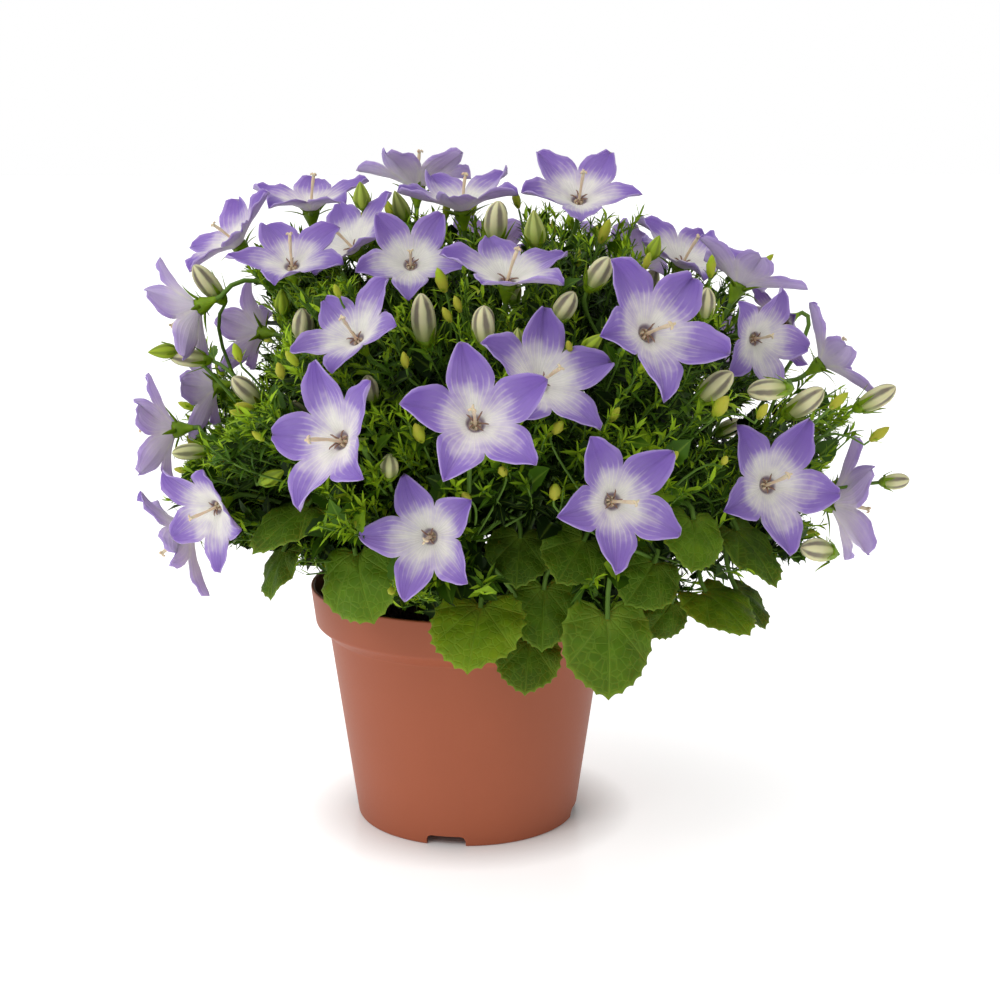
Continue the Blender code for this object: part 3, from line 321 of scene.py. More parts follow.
# Turn from one leaf to the next round a sprig
LEAF_TURN = math.radians(137.5)
# Shares of a leaf's length at which it is tested against the spaces that are kept clear
LEAF_TESTS = (0.35, 0.7, 1.0)

# Stalks: how many leafy stems are tried, and how far a stalk runs back and swings aside on its way, in mm
STALK_OWNERS = 5
STALK_REACHES = (10, 5, 16, 24, 34)
STALK_SWINGS = (0, 12, -12, 24, -24)
STALK_NECK = 2.2 * MM

# Bloom, in mm for a bloom 45 mm across: the corolla's inner surface, by distance from the axis and height
LOBES = 5
BLOOM_SEED = 500
COROLLA_PROFILE = [
    (0.0, -1.8), (1.3, -1.7), (2.0, -1.2), (2.7, -0.4), (4.2, 0.6), (6.4, 1.7), (9.0, 2.9), (12.5, 4.2),
    (17.6, 5.9), (22.5, 7.0),
]
# Half width of a lobe by distance along its middle line, from the notch between two lobes out to the tip
LOBE_OUTLINE = [(8.6, 6.248), (10.5, 6.95), (12.5, 6.8), (15.0, 5.75), (17.8, 4.05), (20.4, 2.05), (22.5, 0.0)]
LOBE_STATIONS = [1.0, 1.6, 2.2, 3.0, 4.8, 6.8, 8.6, 9.8, 11.2, 12.6, 14.2, 16.0, 17.8, 19.5, 21.0, 22.5]
FUSED_STATIONS = 7
LOBE_COLUMNS = 8
PETAL_THICKNESS = 0.35
BLOOM_FOOT_DROP = 8.0
# Closer to the axis than this the corolla is a plain round, a little wider than its stations say
THROAT_REACH = 3.0
THROAT_SPREAD = 1.12
# The seams between two lobes stand up and a lobe's middle line is sunk; a slim tip folds and waves less
SEAM_RISE = 0.8
GROOVE_DEPTH = 0.5
GROOVE_WIDTH = 0.12
SLIM_HALF_WIDTH = 3.0
WAVE_RATE = 0.9
# How far the lobes of a bloom differ from each other
LOBE_RANGES = {
    "twist": (-1.4, 1.4), "swing": (-1.8, 1.8), "wave": (0.4, 1.3), "fold": (0.2, 2.4), "phase": (0, 6),
    "tone": (-0.4, 0.4),
}
STYLE_FOOT = -1.9
STYLE_RADII = [0.80, 0.58, 0.48, 0.48, 0.54, 0.66, 0.58]
# A stigma arm by place along the style and outwards from its end, and a filament by place outwards and up
STIGMA_ARM = [(-0.3, 0.0), (0.5, 0.3), (0.8, 0.7), (0.6, 1.1), (0.1, 1.2)]
STIGMA_RADII = [0.48, 0.48, 0.42, 0.34, 0.20]
FILAMENT = [(1.3, -1.9), (1.2, -1.0), (0.9, 0.0)]
FILAMENT_RADII = [0.55, 0.45, 0.2]
ANTHER_RADII = [0.18, 0.28, 0.25, 0.10]
# Cup under a bloom by height and radius, and its sides and ribs
CALYX_SIDES = 20
CALYX_RIBS = 10
# Half width of a sepal along its length, as a share of its widest
SEPAL_OUTLINE = [(0.0, 0.75), (0.18, 1.0), (0.40, 0.86), (0.62, 0.60), (0.82, 0.32), (1.0, 0.02)]
SEPAL_HALF_THICKNESS = 0.12
SEPAL_FOLD = 0.10
CALYX_CUP = [(-0.7, 3.0), (-2.0, 3.1), (-3.6, 2.6), (-5.2, 1.9), (-6.6, 1.35), (-7.6, 1.05), (-8.2, 0.95)]

CAMERA_PLACE = Vector((0, -0.700, 0.275))
CAMERA_PITCH = 12.19
CAMERA_YAW = 1.06
CAMERA_LENS = 67.2
CAMERA_SENSOR = 36
KEY_PLACE = Vector((-0.75, -0.95, 1.10))
KEY_TARGET = Vector((0.02, 0, 0.14))
KEY_SIZE = 0.7
# The sky is full from the left, the back and above, and in the low band that a camera sees behind the floor.
# Over these shares of a direction it weakens to the right and to the viewer's side, and the low band ends
SKY_RIGHT = (0.35, 0.95)
SKY_FRONT = (0.0, -0.8)
SKY_LOW = (0.10, 0.18)
# Between these distances from the pot's axis the floor's glow fades in: a painted shadow round the pot's foot
SHADOW_FROM = POT_FOOT_RADIUS - 4 * MM
SHADOW_TO = POT_FOOT_RADIUS + 24 * MM
FLOOR_REACH = 6.0


def linear(channel):
    """Turn one sRGB channel, 0 to 1, to linear."""
    if channel <= 0.04045:
        return channel / 12.92
    return ((channel + 0.055) / 1.055) ** 2.4


def colour(code):
    """Turn an sRGB hex value to linear red, green, blue and alpha."""
    return (*(linear(int(code[i:i + 2], 16) / 255) for i in (0, 2, 4)), 1.0)


def colour_setting(name, code, description):
    """A colour that the user can change."""
    return bpy.props.FloatVectorProperty(name=name, description=description, default=colour(code), size=4,
                                         min=0.0, max=1.0, subtype="COLOR")


def number_setting(name, default, description, low=0.0, **rest):
    """A plain number that the user can change."""
    return bpy.props.FloatProperty(name=name, description=description, default=default, min=low, **rest)


def length_setting(name, millimetres, description):
    """A length that the user can change."""
    return number_setting(name, millimetres * MM, description, unit="LENGTH", precision=4)


class BloomSettings(bpy.types.PropertyGroup):
    """Sizes and colours of the blooms."""

    violet: colour_setting("Violet", "927DBC", "Lobes between their middle and their tips")
    deep: colour_setting("Deep violet", "6E52A2", "Middle line and tips of the lobes")
    pale: colour_setting("Pale centre", "EEE8E0", "Middle of the bloom, where the violet fades out")
    rim: colour_setting("Rim", "CBBFE2", "Thin edge of the lobes")
    ring: colour_setting("Throat ring", "5E4868", "Ring round the foot of the style")
    style: colour_setting("Style", "E6DABC", "The column in the middle of the bloom")
    anther: colour_setting("Anthers", "B08C78", "Spent anthers curled round the foot of the style")
    style_length: length_setting("Style length", 11.0, "From the throat to the end of the style")
    curl: length_setting("Curl", 2.4, "How far a lobe's tip may bend up or down")


class BudSettings(bpy.types.PropertyGroup):
    """Colours of the buds."""

    cream: colour_setting("Cream", "D9D3AA", "Ribs of a ripe bud")
    stripe: colour_setting("Stripe", "604C5A", "Furrows of a ripe bud")
    lime: colour_setting("Lime", "97AE2A", "Young buds and the foot of ripe ones")


class LeafSettings(bpy.types.PropertyGroup):
    """Sizes, numbers and colours of the foliage."""

    dark: colour_setting("Dark", "172A08", "Leaves deep in the plant")
    middle: colour_setting("Middle", "3E620A", "Most leaves")
    light: colour_setting("Light", "93B41C", "Young leaves at the ends of the sprigs")
    blade: colour_setting("Large leaf", "4F7206", "Most of a large leaf")
    vein: colour_setting("Vein", "90AE3C", "Veins and rims of the large leaves")
    stalk: colour_setting("Stalk", "6E8F3A", "Stalks and stems")
    sprigs: bpy.props.IntProperty(name="Sprigs", description="Leafy sprigs over the whole dome", default=3000,
                                  min=1)
    spacing: length_setting("Leaf spacing", 1.3, "Distance between two leaves along a sprig")
    size: number_setting("Leaf size", 1.0, "Scale of the small leaves", 0.1)
    seed: bpy.props.IntProperty(name="Seed", description="Another seed sets out other leaves", default=7)


class PotSettings(bpy.types.PropertyGroup):
    """Colours of the pot and the soil."""

    plastic: colour_setting("Plastic", "A75A3B", "The pot")
    shade: colour_setting("Plastic shade", "965036", "Darker clouds in the pot's plastic")
    soil: colour_setting("Soil", "2A1E16", "Damp peat")
    crumb: colour_setting("Crumbs", "4A3626", "Dry crumbs on the soil")
    segments: bpy.props.IntProperty(name="Pot segments", description="Sides of the pot's round", default=160,
                                    min=12)


class StageSettings(bpy.types.PropertyGroup):
    """The floor and the light."""

    floor: colour_setting("Floor", "F0F0F0", "The floor under the pot")
    glow: number_setting("Floor glow", 0.50, "Light that comes up through the floor")
    key: number_setting("Key light", 7.5, "Power of the main light", unit="POWER")
    sky: number_setting("Sky", 1.0, "Strength of the light from all round")
    right: number_setting("Right side", 0.12, "Share of the sky's light that comes from the right", max=1.0)
    front: number_setting("Front", 0.55, "Share of the sky's light that comes from the viewer", max=1.0)


MATH = "ShaderNodeMath"
MIX = "ShaderNodeMix"
RAMP = "ShaderNodeValToRGB"
NOISE = "ShaderNodeTexNoise"
BUMP = "ShaderNodeBump"
VALUE = "ShaderNodeAttribute"


def give_inputs(node, values):
    """Give inputs of a node a value, or links from sockets or from other nodes' results."""
    for name, value in values.items():
        for part in value if isinstance(value, list) else [value]:
            if isinstance(part, bpy.types.Node):
                part = next(socket for socket in part.outputs if socket.enabled)
            if isinstance(part, bpy.types.NodeSocket):
                node.id_data.links.new(part, node.inputs[name])
            else:
                node.inputs[name].default_value = part


def add_node(tree, kind, links=None, stops=(), **settings):
    """Add a node with its own values, its colour stops and its inputs."""
    node = tree.nodes.new(kind)
    for name, value in settings.items():
        setattr(node, name, value)
    for number, (place, tone) in enumerate(stops):
        elements = node.color_ramp.elements
        element = elements[number] if number < 2 else elements.new(place)
        element.position = place
        element.color = tone if isinstance(tone, tuple) else (tone, tone, tone, 1.0)
    give_inputs(node, links or {})
    return node


def new_material(name):
    """A material, the function that adds nodes to it, its object coordinates and its Principled shader."""
    made = bpy.data.materials.new(name)
    made.use_nodes = True
    add = partial(add_node, made.node_tree)
    return made, add, add("ShaderNodeTexCoord").outputs["Object"], made.node_tree.nodes["Principled BSDF"]


def new_tree(name, inputs):
    """A geometry tree with named inputs, the function that adds nodes to it, and the inputs' sockets."""
    tree = bpy.data.node_groups.new(name, "GeometryNodeTree")
    for label, kind in [("Geometry", "Geometry")] + inputs:
        tree.interface.new_socket(label, in_out="INPUT", socket_type="NodeSocket" + kind)
    tree.interface.new_socket("Geometry", in_out="OUTPUT", socket_type="NodeSocketGeometry")
    return tree, partial(add_node, tree), add_node(tree, "NodeGroupInput").outputs


def blend(first, second, share):
    """A colour between two colours."""
    return tuple(a + (b - a) * share for a, b in zip(first, second))


def petal_material(settings):
    """Petal tissue: thin and silky, pale at the heart, violet outwards, with fine lengthwise veins."""
    made, add, place, shader = new_material("petal_tissue")
    along, aside, tone, back = (add(VALUE, attribute_name=name) for name in ("along", "aside", "tone", "back"))
    pale, violet, deep = (tuple(shade) for shade in (settings.pale, settings.violet, settings.deep))
    # Veins run lengthwise, 1.7 mm apart where a lobe is widest, grey in its pale part and deep violet beyond
    vein = add(MATH, {0: add(MATH, {0: aside, 1: 26.0}, operation="MULTIPLY")}, operation="SINE")
    vein = add(RAMP, {"Fac": vein}, [(0.30, 0.0), (1.0, 1.0)])
    # The violet fades in unevenly, first along the edges of a lobe, and feathers between the veins
    cloud = add(NOISE, {"Vector": place, "Scale": 170.0, "Detail": 4.0})
    reach = along
    for part, share in ((cloud, 0.44), (tone, 0.18), (aside, 0.14), (vein, -0.09)):
        reach = add(MATH, {0: part, 1: share, 2: reach}, operation="MULTIPLY_ADD")
    body = add(RAMP, {"Fac": reach}, [
        (0.0, pale), (0.60, blend(pale, violet, 0.08)), (0.78, blend(pale, violet, 0.55)), (0.94, violet),
        (1.0, blend(violet, deep, 0.35)),
    ])
    outer = add(RAMP, {"Fac": along}, [(0.40, 0.0), (0.75, 1.0)])
    # Broad soft patches where the violet is deeper
    patch = add(NOISE, {"Vector": place, "Scale": 75.0, "Detail": 2.0})
    patch = add(MATH, {0: tone, 1: 0.25, 2: patch}, operation="MULTIPLY_ADD")
    patch = add(RAMP, {"Fac": patch}, [(0.50, 0.0), (0.90, 0.8)])
    patch = add(MATH, {0: patch, 1: outer}, operation="MULTIPLY")
    # The tip and a fine line down the middle of the outer lobe are deeper, and its edge is paler, partly its own
    # pale rim and partly a painted highlight
    tip = add(RAMP, {"Fac": along}, [(0.70, 0.0), (1.0, 0.65)])
    line = add(RAMP, {"Fac": aside}, [(0.0, 0.30), (0.16, 0.0)])
    line = add(MATH, {0: line, 1: outer}, operation="MULTIPLY")
    rim = add(RAMP, {"Fac": aside}, [(0.80, 0.0), (1.0, 0.25)])
    rim = add(MATH, {0: rim, 1: outer}, operation="MULTIPLY")
    vein_tone = add(MIX, {0: outer, 6: colour("A39DA3"), 7: deep}, data_type="RGBA")
    # The throat is pinkish tan, with a thin dark violet-grey ring round it
    throat = add(RAMP, {"Fac": along}, [(0.07, 0.8), (0.10, 0.0)])
    ring = add(RAMP, {"Fac": along}, [(0.06, 0.0), (0.085, 0.80), (0.10, 0.65), (0.125, 0.0)])
    for share, shade in (
        (patch, deep), (add(MATH, {0: tip, 1: line}, operation="MAXIMUM"), deep),
        (add(MATH, {0: vein, 1: 0.16}, operation="MULTIPLY"), vein_tone), (rim, tuple(settings.rim)),
        (throat, colour("D2BCB0")), (ring, tuple(settings.ring)),
    ):
        body = add(MIX, {0: share, 6: body, 7: shade}, data_type="RGBA")
    # The outside is paler, but not at a lobe's edge
    shown = add(RAMP, {"Fac": aside}, [(0.60, 0.60), (1.0, 0.15)])
    outside = add(MIX, {0: shown, 6: body, 7: colour("D6C9EF")}, data_type="RGBA")
    give_inputs(shader, {
        "Base Color": add(MIX, {0: back, 6: body, 7: outside}, data_type="RGBA"),
        "Roughness": 0.65, "Specular IOR Level": 0.20, "Sheen Weight": 0.05,
        "Subsurface Weight": 0.50, "Subsurface Radius": (1.0, 0.8, 1.1), "Subsurface Scale": 0.002,
        "Normal": add(BUMP, {"Height": vein, "Strength": 0.35, "Distance": 0.0002}),
    })
    return made


def plain_tissue(name, light, dark, scale, roughness, subsurface=0.0):
    """Plant tissue of two close tones that drift over it."""
    made, add, place, shader = new_material(name)
    cloud = add(NOISE, {"Vector": place, "Scale": scale, "Detail": 3.0})
    give_inputs(shader, {
        "Base Color": add(MIX, {0: cloud, 6: tuple(dark), 7: tuple(light)}, data_type="RGBA"),
        "Roughness": roughness, "Specular IOR Level": 0.25,
        "Subsurface Weight": subsurface, "Subsurface Scale": 0.001,
        "Normal": add(BUMP, {"Height": cloud, "Strength": 0.3, "Distance": 0.0003}),
    })
    return made


def bud_material(settings):
    """Closed petals: cream ribs and brownish furrows when ripe, all lime when young."""
    made, add, place, shader = new_material("bud_skin")
    along, rib, ripe = (add(VALUE, attribute_name=name) for name in ("along", "aside", "tone"))
    lime = tuple(settings.lime)
    cloud = add(NOISE, {"Vector": place, "Scale": 300.0, "Detail": 3.0})
    # The furrows' edges waver, and the furrows fade towards the foot and the tip
    furrow = add(MATH, {0: cloud, 1: 0.35, 2: rib}, operation="MULTIPLY_ADD")
    furrow = add(RAMP, {"Fac": furrow}, [(0.42, 1.0), (0.78, 0.0)])
    reach = add(RAMP, {"Fac": along}, [(0.12, 0.0), (0.42, 0.75), (0.85, 0.9), (1.0, 0.5)])
    striped = add(MATH, {0: furrow, 1: reach}, operation="MULTIPLY")
    skin = add(MIX, {0: striped, 6: tuple(settings.cream), 7: tuple(settings.stripe)}, data_type="RGBA")
    foot = add(RAMP, {"Fac": along}, [(0.05, 0.75), (0.55, 0.10)])
    skin = add(MIX, {0: foot, 6: skin, 7: lime}, data_type="RGBA")
    young = add(MIX, {0: furrow, 6: lime, 7: blend(lime, colour("3F4A14"), 0.4)}, data_type="RGBA")
    stage = add(RAMP, {"Fac": ripe}, [(0.15, 0.0), (0.60, 1.0)])
    give_inputs(shader, {
        "Base Color": add(MIX, {0: stage, 6: young, 7: skin}, data_type="RGBA"),
        "Roughness": 0.55, "Specular IOR Level": 0.25, "Subsurface Weight": 0.15, "Subsurface Scale": 0.0015,
        "Normal": add(BUMP, {"Height": cloud, "Strength": 0.2, "Distance": 0.0003}),
    })
    return made


def small_leaf_material(settings):
    """Leaf blades: deep green inside the plant, partly as older leaves and partly as painted shade, and yellower
    at the sprigs' ends, with a pale middle vein.
    """
    made, add, place, shader = new_material("small_leaf_blade")
    shade = add(VALUE, attribute_name="shade")
    aside = add(VALUE, attribute_name="aside")
    cloud = add(NOISE, {"Vector": place, "Scale": 90.0, "Detail": 2.0})
    tone = add(MATH, {0: cloud, 1: 0.5, 2: shade}, operation="MULTIPLY_ADD")
    # The tiny buds have a shade above 1 and come out olive yellow
    body = add(RAMP, {"Fac": add(MATH, {0: tone, 1: 0.7}, operation="MULTIPLY")}, [
        (0.25, tuple(settings.dark)), (0.50, tuple(settings.middle)), (0.70, tuple(settings.light)),
        (0.84, tuple(settings.light)), (0.94, colour("A9A838")),
    ])
    vein = add(RAMP, {"Fac": aside}, [(0.0, 0.3), (0.18, 0.0)])
    give_inputs(shader, {
        "Base Color": add(MIX, {0: vein, 6: body, 7: tuple(settings.vein)}, data_type="RGBA"),
        "Roughness": 0.50, "Specular IOR Level": 0.13, "Subsurface Weight": 0.10, "Subsurface Scale": 0.001,
    })
    return made


def large_leaf_material(settings):
    """Large leaf blades: satin green, with pale veins that fan out, a fine net and a pale rim that is partly a
    painted highlight.
    """
    made, add, place, shader = new_material("large_leaf_blade")
    blade = add("ShaderNodeUVMap", uv_map="blade")
    split = add("ShaderNodeSeparateXYZ", {"Vector": blade})
    angle = add(MATH, {0: split.outputs["Y"], 1: split.outputs["X"]}, operation="ARCTAN2")
    reach = add("ShaderNodeVectorMath", {0: blade}, operation="LENGTH")
    cloud = add(NOISE, {"Vector": place, "Scale": 160.0, "Detail": 3.0})
    # Main veins 40 degrees apart, as wide near the rim as near the stalk
    fan = add(MATH, {0: add(MATH, {0: angle, 1: MAIN_VEIN_RATE}, operation="MULTIPLY")}, operation="SINE")
    fan = add(MATH, {0: fan}, operation="ABSOLUTE")
    fan = add(MATH, {0: fan, 1: add(MATH, {0: reach, 1: 0.12}, operation="MAXIMUM")}, operation="MULTIPLY")
    main = add(RAMP, {"Fac": fan}, [(0.0, 1.0), (0.04, 0.35), (0.13, 0.0)])
    # Between them a net of meshes about 3 mm wide
    net = add("ShaderNodeTexVoronoi", {"Vector": blade, "Scale": 9.0}, feature="DISTANCE_TO_EDGE")
    net = add(RAMP, {"Fac": net}, [(0.0, 0.45), (0.12, 0.0)])
    veins = add(MATH, {0: main, 1: net}, operation="MAXIMUM")
    # Each leaf's tone, partly painted light and shade, sets how light its blade is
    tone = add(MATH, {0: cloud, 1: 0.5, 2: add(VALUE, attribute_name="tone")}, operation="MULTIPLY_ADD")
    body = add(RAMP, {"Fac": tone}, [
        (0.25, blend(tuple(settings.blade), tuple(settings.dark), 0.7)), (0.70, tuple(settings.blade)),
        (1.0, blend(tuple(settings.blade), tuple(settings.light), 0.5)),
    ])
    # The rim is paler, partly its own pale edge and partly a painted highlight, and so is the blade where the
    # veins meet
    rim = add(RAMP, {"Fac": add(VALUE, attribute_name="along")}, [(0.88, 0.0), (1.0, 0.35)])
    heart = add(RAMP, {"Fac": reach}, [(0.0, 0.5), (0.35, 0.0)])
    pale = add(MATH, {0: add(MATH, {0: rim, 1: heart}, operation="MAXIMUM"),
                      1: add(MATH, {0: veins, 1: 0.35}, operation="MULTIPLY")}, operation="MAXIMUM")
    height = add(MATH, {0: cloud, 1: 0.3}, operation="MULTIPLY")
    height = add(MATH, {0: height, 1: veins}, operation="SUBTRACT")
    give_inputs(shader, {
        "Base Color": add(MIX, {0: pale, 6: body, 7: tuple(settings.vein)}, data_type="RGBA"),
        "Roughness": 0.58, "Specular IOR Level": 0.16, "Subsurface Weight": 0.10, "Subsurface Scale": 0.0015,
        "Normal": add(BUMP, {"Height": height, "Strength": 0.5, "Distance": 0.0006}),
    })
    return made


def pot_material(settings):
    """Injection-moulded polypropylene: matte, with faint clouds and a fine eggshell grain."""
    made, add, place, shader = new_material("moulded_polypropylene")
    shade = tuple(settings.shade)
    cloud = add(NOISE, {"Vector": place, "Scale": 16.0, "Detail": 4.0})
    # The real grain is finer than a pixel, so this one is coarser, 0.7 mm
    grain = add(NOISE, {"Vector": place, "Scale": 1400.0, "Detail": 2.0})
    height = add(MATH, {0: cloud, 1: 0.6, 2: add(MATH, {0: grain, 1: 0.15}, operation="MULTIPLY")},
                 operation="MULTIPLY_ADD")
    give_inputs(shader, {
        "Base Color": add(MIX, {0: cloud, 6: shade, 7: tuple(settings.plastic)}, data_type="RGBA"),
        "IOR": 1.49, "Specular IOR Level": 0.30,
        "Roughness": add(MATH, {0: grain, 1: 0.12, 2: 0.44}, operation="MULTIPLY_ADD"),
        "Normal": add(BUMP, {"Height": height, "Strength": 0.25, "Distance": 0.0006}),
    })
    return made


def soil_material(settings):
    """Damp peat: nearly black, with browner dry crumbs."""
    made, add, place, shader = new_material("damp_peat")
    cloud = add(NOISE, {"Vector": place, "Scale": 420.0, "Detail": 6.0})
    give_inputs(shader, {
        "Base Color": add(RAMP, {"Fac": cloud}, [(0.35, tuple(settings.soil)), (0.75, tuple(settings.crumb))]),
        "Roughness": 0.95, "Specular IOR Level": 0.15,
        "Normal": add(BUMP, {"Height": cloud, "Strength": 0.8, "Distance": 0.0015}),
    })
    return made


class Shell:
    """Points, faces and named values of a mesh while it is being made."""

    def __init__(self, *value_names):
        self.points = []
        self.faces = []
        self.slots = []
        self.values = {name: [] for name in value_names}

    def point(self, place, **values):
        """Add a point and return its number."""
        self.points.append(tuple(place))
        for name, kept in self.values.items():
            kept.append(values.get(name, 0.0))
        return len(self.points) - 1

    def face(self, slot, *corners):
        """Add a face that takes a material slot."""
        self.faces.append(corners)
        self.slots.append(slot)

    def rows(self, slot, rows, closed=False, flip=False):
        """Join rows of point numbers by faces."""
        for low, high in zip(rows, rows[1:]):
            count = len(low)
            for k in range(count if closed else count - 1):
                after = (k + 1) % count
                corners = (low[k], low[after], high[after], high[k])
                self.face(slot, *(reversed(corners) if flip else corners))

    def cap(self, slot, row, centre, flip=False):
        """Close a ring of point numbers with a fan to a centre."""
        count = len(row)
        for k in range(count):
            corners = (row[k], row[(k + 1) % count], centre)
            self.face(slot, *(reversed(corners) if flip else corners))

    def body(self, slot, rings, first, last, flip=False):
        """Join rings of point numbers to a closed body with a point at each end."""
        self.rows(slot, rings, closed=True, flip=flip)
        self.cap(slot, rings[0], first, flip=not flip)
        self.cap(slot, rings[-1], last, flip=flip)

    def to_object(self, name, materials=(), sharp=None, blade=None):
        """Make an object with points in one place joined and faces shaded smooth, and a UV map if given."""
        mesh = bpy.data.meshes.new(name)
        mesh.from_pydata(self.points, [], self.faces)
        for key, kept in self.values.items():
            mesh.attributes.new(key, "FLOAT", "POINT").data.foreach_set("value", kept)
        if blade:
            layer = mesh.uv_layers.new(name="blade")
            for loop in mesh.loops:
                layer.data[loop.index].uv = blade[loop.vertex_index]
        for surface in materials:
            mesh.materials.append(surface)
        mesh.polygons.foreach_set("material_index", self.slots)
        solid = bmesh.new()
        solid.from_mesh(mesh)
        bmesh.ops.remove_doubles(solid, verts=solid.verts[:], dist=WELD)
        bmesh.ops.dissolve_degenerate(solid, edges=solid.edges[:], dist=WELD)
        solid.to_mesh(mesh)
        solid.free()
        mesh.shade_smooth()
        if sharp:
            mesh.set_sharp_from_angle(angle=math.radians(sharp))
        return link_object(name, mesh)


def link_object(name, data):
    """Put new data into the scene as an object."""
    made = bpy.data.objects.new(name, data)
    bpy.context.scene.collection.objects.link(made)
    return made


def finish_piece(item, nodes):
    """Let a piece ride on the part's body and stand for its nodes."""
    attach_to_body(item, "root")
    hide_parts(*nodes)


def spoke(angle, reach=1.0, height=0.0):
    """A point at an angle round the Z axis, in radians from +X towards +Y."""
    return Vector((reach * math.cos(angle), reach * math.sin(angle), height))


def bearing_point(bearing, radius, height=0.0):
    """A point at a bearing round the Z axis, in degrees from +X towards +Y."""
    return spoke(math.radians(bearing), radius, height)


def smooth_curve(table, at):
    """A value read off a smooth curve through a table of pairs."""
    if at <= table[0][0]:
        return table[0][1]
    if at >= table[-1][0]:
        return table[-1][1]
    last = len(table) - 1
    k = next(k for k in range(last) if at <= table[k + 1][0])
    slopes = []
    for number in (k, k + 1):
        before = table[max(number - 1, 0)]
        after = table[min(number + 1, last)]
        slopes.append((after[1] - before[1]) / (after[0] - before[0]))
    (x0, y0), (x1, y1) = table[k:k + 2]
    span = x1 - x0
    t = (at - x0) / span
    bend = (2 * t ** 3 - 3 * t ** 2 + 1) * y0 + (3 * t ** 2 - 2 * t ** 3) * y1
    lean = (t ** 3 - 2 * t ** 2 + t) * slopes[0] + (t ** 3 - t ** 2) * slopes[1]
    return bend + lean * span


def facing_frame(bearing, rise, turn):
    """Axes of a bloom: its first lobe's direction, the direction a quarter turn on, and its facing."""
    a = math.radians(bearing)
    e = math.radians(rise)
    r = math.radians(turn)
    facing = Vector((math.sin(a) * math.cos(e), -math.cos(a) * math.cos(e), math.sin(e)))
    side = Vector((math.cos(a), math.sin(a), 0))
    upward = facing.cross(side)
    first = side * math.cos(r) + upward * math.sin(r)
    return first, facing.cross(first), facing


def back_bloom_rows():
    """Rows of the same form as FRONT_BLOOMS for the side that the photograph doesn't show, as on the part."""
    draw = random.Random(11)
    rows = []
    for height_angle, bearings in BACK_BLOOM_ROWS:
        e = math.radians(height_angle)
        for bearing in bearings:
            b = math.radians(bearing + draw.uniform(-4, 4))
            x = DOME_CENTRE.x + BACK_BLOOM_DOME.x * math.cos(e) * math.cos(b)
            y = DOME_CENTRE.y + BACK_BLOOM_DOME.y * math.cos(e) * math.sin(b)
            z = BACK_BLOOM_LEVEL + BACK_BLOOM_DOME.z * math.sin(e)
            facing = math.degrees(b) + 90 + draw.uniform(-15, 15)
            rise = height_angle * 0.7 + 14 + draw.uniform(-12, 12)
            size = draw.uniform(0.98, 1.10)
            rows.append((x / MM, y / MM, z / MM, facing, rise, draw.uniform(0, 72), size))
    return rows


BLOOMS = FRONT_BLOOMS + back_bloom_rows()


def bend_points(start, control, end, count):
    """Points along a smooth bend from start to end, drawn towards control."""
    points = []
    for step in range(count):
        t = step / (count - 1)
        points.append(start * (1 - t) ** 2 + control * 2 * t * (1 - t) + end * t ** 2)
    return points


